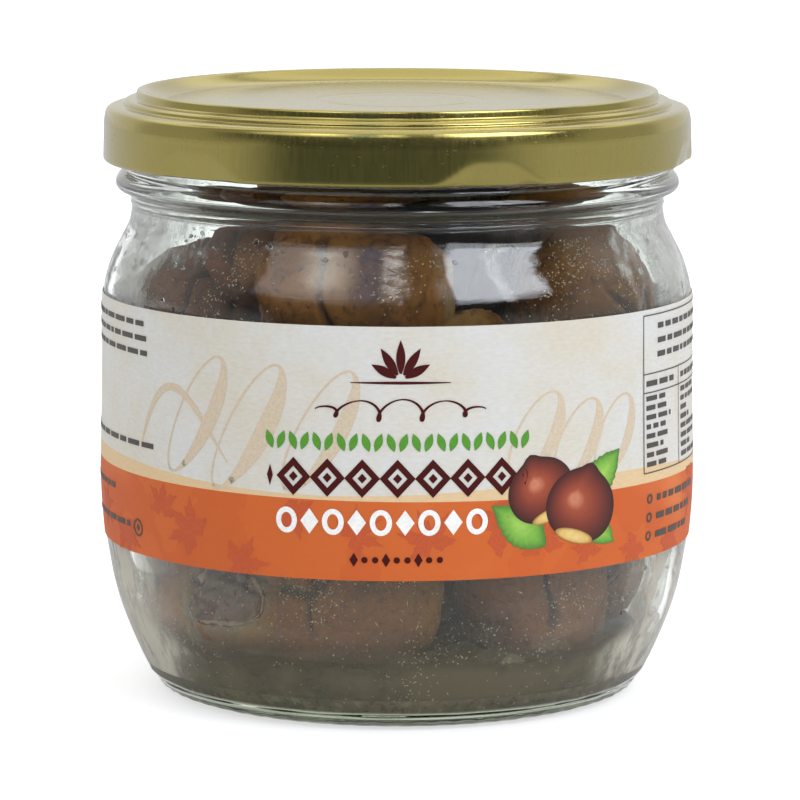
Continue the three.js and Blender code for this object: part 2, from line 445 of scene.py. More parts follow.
def glass_finish(sizes):
    """Clear pressed glass with a breath of green and a faintly uneven skin, a darker green low down:
    partly the thick base's own tint and partly painted contact shade.
    """
    made = Finish("pressed_glass")
    where = made.place()
    skin = made.noise(where, 110, detail=2)
    height = made.axes(where)[2]
    # Low down the glass takes the base tint: partly the thick base's own green, partly painted shade where
    # the jar stands on the floor.
    tint = made.mix(made.step(height, 3.6 * MM, 1.6 * MM), (*sizes.tint, 1), (*sizes.base_tint_and_shade, 1))
    made.set(base_color=tint, transmission_weight=1.0, roughness=0.0, ior=1.52)
    ripple = made.noise(made.scaled(where, 260, 260, 1300), 1.0, detail=3)
    above_label = made.step(height, 52 * MM, 57 * MM, 0, 0.35)
    ripple = made.times(ripple, above_label, made.step(height, 66 * MM, 70 * MM, 1, 0.25))
    return made.bump(made.math("ADD", skin, ripple), 0.00012, 0.35).material


def gold_finish(sizes):
    """Gold lacquer on tinplate: satin, with a faint upright grain and a few fine scratches."""
    made = Finish("gold_lacquer")
    where = made.place()
    grain = made.noise(made.scaled(where, 3200, 3200, 260), 1.0, detail=3)
    cloud = made.noise(where, 60, detail=3)
    scratch = made.noise(made.scaled(where, 700, 1500, 1500), 1.0, detail=1)
    worn = made.step(scratch, 0.71, 0.73)
    satin = made.step(grain, 0.3, 0.7, 0.17, 0.24)
    made.set(
        base_color=made.mix(cloud, (*sizes.gold, 1), (*(c * 0.88 for c in sizes.gold), 1)),
        metallic=1.0,
        coat_weight=0.35,
        coat_roughness=0.14,
        roughness=made.math("MULTIPLY_ADD", worn, 0.1, satin),
    )
    peel = made.noise(made.scaled(where, 700, 700, 350), 1.0, detail=2)
    relief = made.math("MULTIPLY_ADD", worn, -0.3, made.math("MULTIPLY_ADD", peel, 1.6, grain))
    return made.bump(relief, 0.000008, 0.6).material


def plain_finish(name, tone, roughness=0.7, gloss=0.5):
    """An even ink or coating with a fine tooth."""
    made = Finish(name)
    tooth = made.noise(made.place(), 2600, detail=2)
    shade = made.mix(made.step(tooth, 0.35, 0.65), tone, (*(c * 0.9 for c in tone[:3]), 1))
    made.set(base_color=shade, roughness=roughness, specular_ior_level=gloss)
    return made.bump(tooth, 0.00002, 0.3).material


# ---- Sizes and colours that a user would change -----------------------------------------------


def length(name, description, millimetres):
    """A length, with its default in millimetres."""
    return FloatProperty(name=name, description=description, default=millimetres * MM, unit="LENGTH")


def tone(name, description, value):
    """A colour."""
    return FloatVectorProperty(
        name=name, description=description, default=value[:3], subtype="COLOR", min=0, max=1
    )


def light(name, description, value):
    """A brightness in three colours, 1 for white paper in full light."""
    return FloatVectorProperty(name=name, description=description, default=value, subtype="COLOR", min=0)


class JarGlassSizes(bpy.types.PropertyGroup):
    """The glass."""

    wall: length("Wall", "Thickness of the glass wall", 2.3)
    floor: length("Floor", "Height of the inside floor's edge", 2.2)
    wave: length("Wave", "How far the inner wall wanders from round", 0.16)
    knurl: length("Knurl", "Depth of the marks round the foot", 0.2)
    tint: tone("Tint", "Colour of the glass", (0.95, 0.985, 0.955))
    # The base tint is partly the thick base's own green and partly painted contact shade.
    base_tint_and_shade: tone("Base tint", "Colour of the thick base", (0.3, 0.36, 0.22))


class JarLidSizes(bpy.types.PropertyGroup):
    """The lid."""

    sheet: length("Sheet", "Thickness of the metal", 0.24)
    lug_depth: length("Lug depth", "How far each lug is bent inwards", 0.72)
    lug_tall: length("Lug height", "Height of each lug's dent", 2.9)
    lugs: IntProperty(name="Lugs", description="Number of lugs", default=6, min=3, max=12)
    gold: tone("Gold", "Colour of the lacquer", colour(176, 162, 90))


class JarLabelLook(bpy.types.PropertyGroup):
    """The paper label."""

    paper: length("Paper", "Thickness of the paper", 0.12)
    overlap: length("Overlap", "How far the ends overlap at the back", 9.0)
    cream: tone("Cream", "Colour of the upper field", colour(208, 208, 204))
    orange: tone("Orange", "Colour of the lower band", colour(202, 97, 38))
    rust: tone("Rust", "Colour of the leaves in the band", colour(190, 80, 32))
    tan: tone("Tan", "Colour of the line above the band", colour(216, 188, 146))


class JarNutLook(bpy.types.PropertyGroup):
    """The chestnuts."""

    wide: length("Width", "Width of a middling nut", 26.8)
    thick: length("Thickness", "Thickness of a middling nut", 20.4)
    tall: length("Height", "Height of a middling nut", 25.2)
    golden: tone("Golden", "Colour of the palest skin", colour(164, 110, 46))
    brown: tone("Brown", "Colour of the darkest skin", colour(146, 91, 56))


class JarStudioLight(bpy.types.PropertyGroup):
    """The light of the studio, as brightness in red, green and blue."""

    front: light("Front", "The dark room in front of the jar", (0.07, 0.079, 0.088))
    back: light("Back", "The white room behind the jar and at its sides", (0.8, 0.8, 0.8))
    lamp: light("Lamp", "The wide lamp behind the jar", (1.4, 1.4, 1.4))
    ceiling: light("Ceiling", "The white ceiling", (1.2, 1.2, 1.2))
    gap: light("Gap", "The dark gap between the lamp's two halves", (0.3, 0.3, 0.3))
    shade: light("Shade", "The dim corner on the left", (0.42, 0.42, 0.42))
    low_side: light("Low side", "The walls low down at the sides", (0.5, 0.5, 0.5))
    left_window: light("Left window", "The wide window on the left", (1.2, 1.24, 1.3))
    left_glow: light("Left glow", "The bright sky in the left window", (5.2, 5.1, 4.9))
    left_curtain: light("Left curtain", "The blue side of the left window", (0.35, 0.6, 1.0))
    right_window: light("Right window", "The brighter window on the right", (5.4, 5.6, 6.1))
    right_glow: light("Right glow", "The bright sky in the right window", (8.2, 8.4, 8.8))


# ---- Glass, lid and label ---------------------------------------------------------------------


def make_glass(sizes):
    """The fine glass, with a wandering inner wall and grip marks round its foot."""
    mesh = revolve(glass_outline(sizes), glass_finish(sizes))
    points = get_points(mesh)
    height = points[:, 2]
    radius, around = polar(points)
    inner = radius < np.interp(height, BODY_CURVE[:, 1] * MM, BODY_CURVE[:, 0] * MM) - 1.2 * MM
    inner = inner * smooth(height, sizes.floor + 7.6 * MM, sizes.floor + 13 * MM) * (height < 70 * MM)
    shift = inner * ripples(points, 14 * MM, SEED) * sizes.wave * 0.5
    shift += inner * ripples(points * (1, 1, 0.35), 5 * MM, SEED + 1) * sizes.wave * 0.12
    foot = smooth(radius, 32.2 * MM, 33.4 * MM) * (1 - smooth(height, 0.8 * MM, 1.5 * MM))
    shift += foot * sizes.knurl * (np.abs(np.sin(around * 33)) - 0.5) * (height > 0)
    heel = (radius > 35 * MM) & (height > MM) & (height < 3.4 * MM)
    shift += np.where(heel, ripples(points * (1, 1, 2.5), 3 * MM, SEED + 3) * 0.035 * MM, 0)
    points[:, :2] *= (1 + shift / np.maximum(radius, MM))[:, None]
    set_points(mesh, points)
    return add_object("glass_jar", mesh, crisp=50)


def lug_bend(around, height, sizes):
    """Share of the full bend, from 0 to 1, that a lug has: a flat dent, narrower at its top."""
    pitch = math.tau / sizes.lugs
    first, skirt_radius = math.radians(18), 43 * MM
    turn = np.mod(around - first, pitch)
    across = np.minimum(turn, pitch - turn) * skirt_radius
    down = 1 - (height - (LID_BOTTOM + 0.6) * MM) / sizes.lug_tall
    side = (2.8 * MM + 4.6 * MM * down - across) / (3.4 * MM)
    return np.clip(np.minimum(down, side), 0, 1)


def make_lid(sizes):
    """The lid, with its lugs pressed in round the hem."""
    mesh = revolve(lid_outline(sizes.sheet / MM), gold_finish(sizes), steps=300)
    points = get_points(mesh)
    radius, around = polar(points)
    skirt = (radius > 41 * MM) & (points[:, 2] < (LID_TOP - 4) * MM)
    bend = np.where(skirt, sizes.lug_depth * lug_bend(around, points[:, 2], sizes), 0)
    points[:, :2] *= (1 - bend / np.maximum(radius, MM))[:, None]
    set_points(mesh, points)
    return add_object("gold_lid", mesh, crisp=60)


def make_seal():
    """The sealing compound that lines the lid, thicker where it meets the rim."""
    section = [(0, 0.16), (36.2, 0.16), (36.4, 0.03), (40.2, 0.03), (40.5, 0.2), (40.2, 0.3), (0, 0.3)]
    made = plain_finish("sealing_compound", colour(104, 96, 72), 0.6)
    outline = [(r, RIM + above) for r, above in section]
    return add_object("sealing_ring", revolve(outline, made, steps=240), crisp=40)


LABEL_GAP = 0.06
LABEL_REACH = 43.4  # radius at which arc lengths on the label are measured
PLEAT_RADIUS = 43
# Pleats that gather the label's lower edge: degrees from the front, depth and half width of each.
PLEATS = [(-67, 0.24, 0.55), (-61.5, 0.1, 0.9), (118, 0.2, 0.6), (151, 0.16, 0.8), (-128, 0.18, 0.6)]


def label_radius(around, height):
    """Radius of the label's back in millimetres, with the pleats its lower edge is gathered in."""
    low = 1 - smooth(height, 23, 29)
    lift = sum(
        deep * np.exp(-(((around - math.radians(where)) * PLEAT_RADIUS / wide) ** 2)) * low
        for where, deep, wide in PLEATS
    )
    return body_radius(height) + LABEL_GAP + lift


def wrap(across, height, lift=0.0):
    """Points on the label from arc length and height in millimetres, lifted off the glass."""
    around = np.asarray(across) / LABEL_REACH
    radius = label_radius(around, height) + lift
    return np.stack([radius * np.sin(around), -radius * np.cos(around), height], -1) * MM


def paper_finish(look):
    """Uncoated paper: a cream field, a tan line and an orange band with scattered leaf shapes."""
    made = Finish("printed_paper")
    uv = add_node(made.tree, "ShaderNodeUVMap", uv_map="paper").outputs[0]
    across, height, _ = made.axes(uv)
    slope = 0.008  # the fields sink a little towards the right
    level = made.math("MULTIPLY_ADD", across, slope, height)
    fibre = made.noise(made.scaled(uv, 1, 2.5, 1), 900, detail=4, rough=0.6)
    cloud = made.noise(uv, 55, detail=4, rough=0.6)
    cream = made.mix(made.step(cloud, 0.35, 0.7), (*look.cream, 1), colour(206, 199, 182))
    warp = made.times(made.noise(uv, 130, detail=3), 0.012)
    bent = add_node(made.tree, "ShaderNodeVectorMath", {0: uv, 1: warp}, operation="ADD").outputs[0]
    cells = {"Vector": made.scaled(bent, 1, 0.8, 1), "Scale": 115}
    tones = add_node(made.tree, "ShaderNodeTexVoronoi", cells).outputs["Color"]
    pick = add_node(made.tree, "ShaderNodeSeparateColor", {0: tones})
    leaf = made.step(pick.outputs[0], 0.5, 0.56, 0, 0.4)
    wash = made.times(leaf, made.step(cloud, 0.3, 0.6, 0.45, 1.0))
    band = made.mix(wash, (*look.orange, 1), (*look.rust, 1))
    pale = made.step(made.noise(uv, 45, detail=2), 0.55, 0.75, 0, 0.35)
    band = made.mix(pale, band, colour(233, 142, 84))
    wave_start, wave_length = 60 * MM, 95 * MM
    wave = made.math("COSINE", made.times(made.math("ADD", across, wave_start), math.tau / wave_length))
    line = made.math("MULTIPLY_ADD", wave, 0.9 * MM, 35.85 * MM)
    above_band = made.step(level, 34.32 * MM, 34.38 * MM)
    above_line = made.step(made.math("SUBTRACT", level, line), -0.03 * MM, 0.03 * MM)
    print_tone = made.mix(above_band, band, (*look.tan, 1))
    print_tone = made.mix(above_line, print_tone, cream)
    grain = made.step(fibre, 0.3, 0.7)
    made.set(base_color=made.mix(grain, print_tone, made.mix(0.1, print_tone, colour(120, 100, 80))))
    made.set(roughness=0.6, specular_ior_level=0.25)
    return made.bump(fibre, 0.00003, 0.5).material


def make_label(look):
    """The paper band, its ends overlapping at the back, its lower edge gathered in small pleats."""
    lap = look.overlap / MM / LABEL_REACH
    around = np.linspace(-math.pi, math.pi + lap, 520)
    height = np.linspace(LABEL_LOW, LABEL_HIGH, 28)
    turn, level = (grid.ravel() for grid in np.meshgrid(around, height, indexing="ij"))
    paper = look.paper / MM
    glue = 0.02
    over = smooth(turn, math.pi - 0.03, math.pi + 0.01) * (paper + glue)
    back = wrap(turn * LABEL_REACH, level, over)
    front = wrap(turn * LABEL_REACH, level, over + paper)
    columns, rows = len(around), len(height)
    index = np.arange(columns * rows).reshape(columns, rows)
    cells = np.stack([index[:-1, :-1], index[1:, :-1], index[1:, 1:], index[:-1, 1:]], -1).reshape(-1, 4)
    rim = np.concatenate([index[:, 0], index[-1, 1:], index[-2::-1, -1], index[0, -2:0:-1]])
    total = columns * rows
    edge = np.stack([rim, np.roll(rim, -1), np.roll(rim, -1) + total, rim + total], 1)
    faces = np.vstack([cells[:, ::-1], cells + total, edge])
    mesh = new_mesh("label", np.vstack([back, front]), faces.tolist())
    uv = mesh.uv_layers.new(name="paper")
    corner = np.empty(len(mesh.loops), int)
    mesh.loops.foreach_get("vertex_index", corner)
    flat = np.stack([turn * LABEL_REACH * MM, level * MM], 1)
    uv.data.foreach_set("uv", flat[corner % total].ravel())
    return add_object("paper_label", mesh, paper_finish(look), crisp=60)


# ---- Print ------------------------------------------------------------------------------------

# Shapes on the label are drawn flat, in millimetres: x along the paper from the middle of the
# front, and y up from the table.
CREST_FOOT = 51.0
SWASH_LEVEL = 47.2
GARLAND_FOOT = 41.4
TITLE_LEVEL = 37.6
WHITE_LEVEL = 31.4
DOTS_LEVEL = 26.1
INK = 0.02  # thickness of the ink


def bar(x, y, width, height):
    """An upright rectangle about its middle."""
    w, h = width / 2, height / 2
    return [(x - w, y - h), (x + w, y - h), (x + w, y + h), (x - w, y + h)]


def lozenge(x, y, width, height):
    """A diamond about its middle."""
    return [(x + width / 2, y), (x, y + height / 2), (x - width / 2, y), (x, y - height / 2)]


def ring_band(outer, inner):
    """The band between two outlines with as many corners, as one strip of quads."""
    ahead = [*range(1, len(outer)), 0]
    return [[outer[i], outer[k], inner[k], inner[i]] for i, k in enumerate(ahead)]


def disc(x, y, width, height, count=24):
    """An ellipse about its middle."""
    turn = [math.tau * i / count for i in range(count)]
    return [(x + width / 2 * math.cos(a), y + height / 2 * math.sin(a)) for a in turn]


def stroke(path, widths):
    """A line of changing width along a path, as quads."""
    p = np.array(path, float)
    ahead = np.gradient(p, axis=0)
    side = np.stack([-ahead[:, 1], ahead[:, 0]], 1)
    side /= np.maximum(np.linalg.norm(side, axis=1), 1e-9)[:, None]
    half = np.broadcast_to(np.asarray(widths, float) / 2, len(p))[:, None]
    left, right = p + side * half, p - side * half
    return [[left[i], left[i + 1], right[i + 1], right[i]] for i in range(len(p) - 1)]


def turned(flat, x, y, tilt):
    """A flat outline turned about its own origin, which is then moved to x, y."""
    c, s = math.cos(tilt), math.sin(tilt)
    return np.stack([x + flat[:, 0] * c - flat[:, 1] * s, y + flat[:, 0] * s + flat[:, 1] * c], 1)


def print_piece(name, shapes, material, lift=0.05, thick=INK, clip=None):
    """One ink: flat shapes wrapped round the label as thin closed solids."""
    bm = bmesh.new()
    for shape in shapes:
        bm.faces.new([bm.verts.new((x, y, 0)) for x, y in shape])
    bmesh.ops.remove_doubles(bm, verts=bm.verts, dist=0.002)
    bmesh.ops.dissolve_degenerate(bm, edges=bm.edges, dist=0.001)
    bmesh.ops.triangulate(bm, faces=bm.faces)
    for edge, way in zip(clip or (), (-1, 1)):
        every = [*bm.verts, *bm.edges, *bm.faces]
        bmesh.ops.bisect_plane(
            bm, geom=every, plane_co=(0, edge, 0), plane_no=(0, way, 0), clear_outer=True
        )
    low = min(v.co.x for v in bm.verts)
    high = max(v.co.x for v in bm.verts)
    stride = 1.2
    for cut in np.arange(low + stride, high, stride):
        every = [*bm.verts, *bm.edges, *bm.faces]
        bmesh.ops.bisect_plane(bm, geom=every, plane_co=(cut, 0, 0), plane_no=(1, 0, 0))
    for face in bm.faces:
        if face.normal.z < 0:
            face.normal_flip()
    bmesh.ops.triangulate(bm, faces=bm.faces)
    made = bmesh.ops.extrude_face_region(bm, geom=bm.faces[:])
    raised = {v for v in made["geom"] if isinstance(v, bmesh.types.BMVert)}
    for vert in bm.verts:
        vert.co.z = thick if vert in raised else 0
    mesh = close_bmesh(bm, name)
    flat = get_points(mesh)
    surface = bpy.context.scene.jar_label.paper / MM + lift
    set_points(mesh, wrap(flat[:, 0], flat[:, 1], surface + flat[:, 2]))
    face_outwards(mesh)
    obj = add_object(name, mesh, material, crisp=30)
    keep(obj, "label_paper")
    return obj


def title_row():
    """A chain of seven hollow lozenges, each with a stud in it, between two small ends."""
    shapes = []
    for i in range(7):
        x = -14.6 + 4.9 * i
        shapes += ring_band(lozenge(x, TITLE_LEVEL, 5.0, 5.4), lozenge(x, TITLE_LEVEL, 2.7, 2.9))
        shapes.append(lozenge(x, TITLE_LEVEL, 1.3, 1.4))
    for x in (-18.1, 18.3):
        shapes.append(lozenge(x, TITLE_LEVEL, 0.9, 3.0))
    return shapes


def crest():
    """A spray of five blades over a short rule."""
    shapes = []
    middle, foot = 0.5, CREST_FOOT + 0.4
    along = np.linspace(0.16, 1, 9)
    for angle, reach in ((-62, 4.6), (-32, 5.2), (0, 5.6), (32, 5.2), (62, 4.6)):
        turn = math.radians(90 - angle)
        path = [(middle + t * reach * math.cos(turn), foot + t * reach * math.sin(turn)) for t in along]
        shapes += stroke(path, 1.25 * np.sin(np.linspace(0.25, math.pi, 9)) + 0.02)
    rule = [(x, CREST_FOOT) for x in np.linspace(-6.5, 7.5, 9)]
    shapes += stroke(rule, 0.1 + 0.3 * np.sin(np.linspace(0, math.pi, 9)))
    return shapes


def swash():
    """A thin rolling line of four waves that swells and thins."""
    t = np.linspace(0, 1, 120)
    x = -11.5 + 24 * t + 1.3 * np.sin(t * math.tau * 4)
    y = SWASH_LEVEL + 1.5 * np.sin(t * math.tau * 4 + 1.4) * np.sin(math.pi * t) ** 0.5
    return stroke(np.stack([x, y], 1), 0.16 + 0.3 * np.abs(np.sin(t * math.tau * 2)))


def garland():
    """A row of small leaves that lean left and right in turn."""
    shapes = []
    for i in range(22):
        x = -18.2 + 1.74 * i
        lean = 0.9 if i % 2 else -0.9
        path = [(x - lean * 0.5 + lean * t, GARLAND_FOOT + 2.5 * t) for t in np.linspace(0, 1, 8)]
        shapes += stroke(path, 1.15 * np.sin(np.linspace(0.12, math.pi - 0.05, 8)))
    return shapes


def white_row():
    """White rings and lozenges in turn on the orange band."""
    shapes = []
    for i in range(9):
        x = -15.6 + 3.35 * i
        if i % 2:
            shapes.append(lozenge(x, WHITE_LEVEL, 2.6, 3.6))
        else:
            shapes += ring_band(disc(x, WHITE_LEVEL, 3.1, 3.7), disc(x, WHITE_LEVEL, 1.6, 2.2))
    return shapes


def dots_row():
    """A short row of dark dots, with a lozenge in every third place, low on the band."""
    places = [-6 + 1.5 * i for i in range(9)]
    return [
        disc(x, DOTS_LEVEL, 0.9, 0.9, 16) if i % 3 else lozenge(x, DOTS_LEVEL, 1.2, 2.0)
        for i, x in enumerate(places)
    ]


def written_lines(left, right, rows, height, draw):
    """Rows of short bars, as small print looks from afar."""
    shapes = []
    for row in rows:
        x = left
        while x < right:
            word = min(draw.uniform(1.1, 3.6), right - x)
            if word > 0.5:
                shapes.append(bar(x + word / 2, row, word, height))
            x += word + 0.7
    return shapes


def grid_table(draw):
    """A framed table with greyed lines in its two columns."""
    left, right, low, high = 40.6, 70.0, 35.4, 58.0
    shapes = []
    for y in (low, 46.9, 49.6, high):
        shapes.append(bar((left + right) / 2, y, right - left, 0.16))
    for x in (left, right):
        shapes.append(bar(x, (low + high) / 2, 0.16, high - low))
    shapes.append(bar(52.0, (low + 49.6) / 2, 0.12, 49.6 - low))
    shapes += written_lines(44.5, 66.0, (56.3, 54.2, 52.2), 0.8, draw)
    for row in np.arange(36.6, 46.5, 1.35):
        shapes += written_lines(41.4, draw.uniform(46, 50.5), [row], 0.7, draw)
        shapes += written_lines(53.2, draw.uniform(57, 66), [row], 0.7, draw)
    shapes += written_lines(41.4, 50.0, [48.2], 0.8, draw)
    shapes += written_lines(53.2, 66.0, [48.2], 0.8, draw)
    return shapes


def marks(draw):
    """Three short lines on the orange band, each led by a round mark."""
    shapes = []
    for y in (31.6, 28.9, 26.2):
        shapes += ring_band(disc(42.2, y, 1.5, 1.5, 16), disc(42.2, y, 0.8, 0.8, 16))
        shapes += written_lines(44.2, draw.uniform(56, 63), [y], 0.95, draw)
    return shapes


def small_print(draw):
    """Blocks of small print on the left and at the back, and a round mark."""
    shapes = written_lines(-82, -41.6, (56.6, 54.5, 52.4), 0.75, draw)
    shapes += written_lines(-82, -39.8, (39.3,), 0.75, draw)
    shapes += written_lines(-70, -52, (32.0,), 0.8, draw)
    shapes += written_lines(-66, -46.6, (27.2,), 0.8, draw)
    shapes += ring_band(disc(-44.2, 27.0, 2.6, 2.6), disc(-44.2, 27.0, 2.0, 2.0))
    shapes.append(lozenge(-44.2, 27.0, 1.0, 1.2))
    shapes += written_lines(82, 118, np.arange(38, 57, 1.9), 0.7, draw)
    shapes += written_lines(-126, -96, np.arange(42, 57, 1.9), 0.7, draw)
    return shapes


def flourishes():
    """Large pale curls behind the print, and one long sweep on their left."""
    shapes = []
    turn = np.linspace(0, 1, 70) * math.tau * 1.15 - 1.9
    for x, y, tall, lean, wide in (
        (-31, 45, 17, 0.5, 1.5), (-22, 44, 18, 0.52, 1.9), (-11, 44, 17, 0.5, 1.5),
        (20, 43, 12, 0.45, 1.2), (27, 42, 11, 0.45, 1.3), (34, 42, 11, 0.4, 1.1),
    ):
        px = x + 3.2 * np.cos(turn) + lean * tall / 2 * np.sin(turn)
        py = y + tall / 2 * np.sin(turn)
        shapes += stroke(np.stack([px, py], 1), 0.35 + 1.3 * wide * np.maximum(0, np.cos(turn)) ** 2)
    sweep = np.linspace(0, 1, 60)
    px = -43 + 18 * sweep ** 1.4
    py = 39 + 11 * np.sin(sweep * math.pi * 0.9) ** 1.2 - 3 * sweep
    shapes += stroke(np.stack([px, py], 1), 0.25 + 0.9 * np.sin(sweep * math.pi))
    return shapes


# Half of a leaf's edge, from its stalk up to below its tip, as angle in degrees and reach.
LEAF_EDGE = [
    (-90, 0.1), (-62, 0.36), (-34, 0.44), (-26, 0.58), (-14, 0.68), (-6, 0.5), (6, 0.46), (13, 0.36),
    (22, 0.6), (27, 0.56), (38, 0.95), (47, 0.66), (54, 0.7), (64, 0.36), (74, 0.62), (80, 0.6),
]


def leaf_shadow(x, y, size, turn):
    """A five-lobed autumn leaf with toothed edges, about its middle."""
    rim = [*LEAF_EDGE, (90, 1.0), *((180 - a, r) for a, r in LEAF_EDGE[:0:-1])]
    angles = [math.radians(a + turn) for a, _ in rim]
    return [(x + size * r * math.cos(a), y + size * r * math.sin(a)) for a, (_, r) in zip(angles, rim)]


def fallen_leaves(draw):
    """Leaves strewn round the whole orange band."""
    leaves = []
    reach = -132.0
    while reach < 134:
        height, size, turn = draw.uniform(24, 33.5), draw.uniform(3.4, 6.4), draw.uniform(0, 360)
        leaves.append(leaf_shadow(reach, height, size, turn))
        reach += draw.uniform(5.5, 11)
    return leaves


def rings_of(outline, middle, shares):
    """Outlines shrunk towards a middle by each share in turn."""
    p, m = np.array(outline), np.array(middle)
    return [m + (p - m) * share for share in shares]


def nut_outline(x, y, width, tilt, count=48):
    """A chestnut's outline: round, with a broad base and a pointed tip."""
    turn = np.linspace(0, math.tau, count, endpoint=False)
    tip = 0.16 * np.exp(-(((turn - math.pi / 2) / 0.2) ** 2))
    base = 0.12 * np.maximum(0, -np.sin(turn)) ** 3
    reach = 1 + tip - base
    flat = np.stack([reach * np.cos(turn) * width / 2, reach * np.sin(turn) * width * 0.46], 1)
    return turned(flat, x, y, tilt)


def leaf_outline(x, y, length_mm, width, tilt, teeth=9):
    """A saw-edged leaf about its middle."""
    t = np.linspace(0, 1, teeth * 4 + 1)
    half = width / 2 * np.sin(math.pi * t ** 0.85) * (1 + 0.16 * (np.mod(t * teeth, 1) - 0.5))
    upper = np.stack([length_mm * (t - 0.5), half], 1)
    lower = np.stack([length_mm * (t - 0.5), -half], 1)[-2:0:-1]
    return turned(np.vstack([upper, lower]), x, y, tilt)


def painted_rings(name, rings, tones, lift):
    """Nested outlines with a tone each, shaded smoothly between them, wrapped on the label."""
    count = len(rings[0])
    points = np.vstack([*rings, rings[-1].mean(0)])
    hub = len(points) - 1
    faces = []
    for level in range(len(rings) - 1):
        for i in range(count):
            a, b = level * count + i, level * count + (i + 1) % count
            faces.append((a, b, b + count, a + count))
    last = (len(rings) - 1) * count
    faces += [(last + i, last + (i + 1) % count, hub) for i in range(count)]
    total = len(points)
    under = [tuple(i + total for i in reversed(face)) for face in faces]
    edge = [(i, i + total, (i + 1) % count + total, (i + 1) % count) for i in range(count)]
    surface = bpy.context.scene.jar_label.paper / MM + lift
    front = wrap(points[:, 0], points[:, 1], surface)
    back = wrap(points[:, 0], points[:, 1], surface - INK)
    mesh = new_mesh(name, np.vstack([front, back]), [*faces, *under, *edge])
    ink = np.vstack([np.repeat([t[:3]], count, 0) for t in tones] + [[tones[-1][:3]]])
    set_attribute(mesh, "ink", np.vstack([ink, ink]))
    face_outwards(mesh)
    return add_object(name, mesh)


def picture_finish():
    """Print inks read from the picture's own colours."""
    made = Finish("picture_inks")
    tooth = made.noise(made.place(), 1500, detail=3)
    shade = made.mix(made.step(tooth, 0.3, 0.7, 0, 0.12), made.attribute("ink"), colour(70, 40, 30))
    return made.set(base_color=shade, roughness=0.5).material


def make_picture():
    """Two nuts among three saw-edged leaves."""
    parts = []
    green = [colour(70, 120, 38), colour(108, 168, 52), colour(150, 196, 80)]
    red = [colour(50, 14, 12), colour(84, 26, 16), colour(128, 46, 24), colour(158, 68, 36)]
    shell = [*red, colour(196, 120, 88)]
    straw = [colour(150, 110, 50), colour(214, 176, 96), colour(226, 194, 120)]
    for x, y, reach, wide, tilt in (
        (17.5, 30.4, 10.5, 5.6, 2.5), (31.5, 36.6, 9.5, 5.2, 0.75), (31.0, 28.6, 7.5, 4.2, -0.6),
    ):
        leaf = leaf_outline(x, y, reach, wide, tilt)
        parts.append(painted_rings("leaf", rings_of(leaf, (x, y), (1, 0.7, 0.12)), green, 0.05))
    for x, y, wide, tilt, lift in ((21.0, 35.0, 10.6, 0.35, 0.07), (27.6, 32.2, 12.2, -0.3, 0.09)):
        nut = nut_outline(x, y, wide, tilt)
        middle = (x - wide * 0.12, y + wide * 0.12)
        parts.append(painted_rings("nut", rings_of(nut, middle, (1, 0.86, 0.55, 0.28, 0.1)), shell, lift))
        down = wide * 0.34
        hub = (x + math.sin(tilt) * down, y - math.cos(tilt) * down)
        base = turned(np.array(disc(0, 0, wide * 0.56, wide * 0.16, 32)), *hub, tilt)
        parts.append(painted_rings("scar", rings_of(base, hub, (1, 0.75, 0.3)), straw, lift + 0.01))
    bm = bmesh.new()
    for part in parts:
        bm.from_mesh(part.data)
    mesh = close_bmesh(bm, "picture")
    remove(*parts)
    obj = add_object("printed_picture", mesh, picture_finish(), crisp=60)
    keep(obj, "label_paper")


# ---- Chestnuts --------------------------------------------------------------------------------

# Each nut: degrees from the front, distance from the axis and height of its middle in
# millimetres, size, degrees of roll, lean and turn, how golden its skin is, and the tilt in degrees
# and the shift of the cleft in its outer face. Unturned, a nut stands on its base with its flat
# side to the glass.
LOW_NUTS = [
    (-40, 28.4, 16.6, 0.94, 8, -106, 12, 1.3, 8, -0.42),
    (-16, 29.0, 17.8, 1.04, 82, 4, 0, 0.45, 4, -0.06),
    (44, 29.0, 17.0, 0.96, 5, -6, 10, 0.3, -8, -0.45),
    (84, 28.6, 22.6, 1.0, 85, 0, 0, 0.4, 70, 0.1),
    (122, 28.6, 17.2, 0.98, 150, 10, 0, 0.5, 20, 0.2),
    (168, 28.4, 17.0, 1.02, 60, -8, 0, 0.3, -30, -0.1),
    (-140, 28.6, 17.4, 0.98, 15, 6, 0, 0.5, 60, 0.15),
    (-63, 31.9, 18.2, 0.8, 100, 0, 0, 0.9, -15, 2),
]
HIDDEN_NUTS = [
    (-82, 29.6, 36.0, 1.0, 20, 0, 0, 0.5, 0, 0.2),
    (-31, 29.8, 37.0, 1.02, 120, -6, 0, 0.5, 30, 0),
    (20, 29.8, 46.2, 0.96, 85, 4, 0, 1.05, 80, 0.5),
    (66, 29.6, 43.4, 1.0, 10, 0, 0, 0.5, 0, 0),
    (116, 29.6, 40.2, 1.02, 70, 8, 0, 0.5, 40, 0),
    (168, 29.6, 39.0, 1.0, 160, 0, 0, 0.5, 0, 0),
    (-138, 29.6, 40.0, 1.04, 45, -8, 0, 0.5, 0, 0),
    (-41, 21.0, 63.5, 1.0, 30, 78, 0, 0.2, 10, 0),
    (82, 15.0, 68.2, 0.96, 110, 82, 0, 0.3, 0, 0),
    (-152, 14.0, 68.0, 1.02, 60, 80, 0, 0.3, 0, 0),
    (18, 12.0, 19.5, 1.0, 40, 10, 0, 0.4, 20, 0),
    (200, 9.5, 18.5, 1.0, 80, 0, 0, 0.4, 0, 0),
    (100, 9.5, 38.0, 1.0, 10, 0, 0, 0.4, 0, 0),
    (-80, 9.5, 38.0, 1.0, 120, 10, 0, 0.4, 0, 0),
    (-150, 9.0, 54.0, 1.0, 70, 0, 0, 0.3, 0, 0),
]
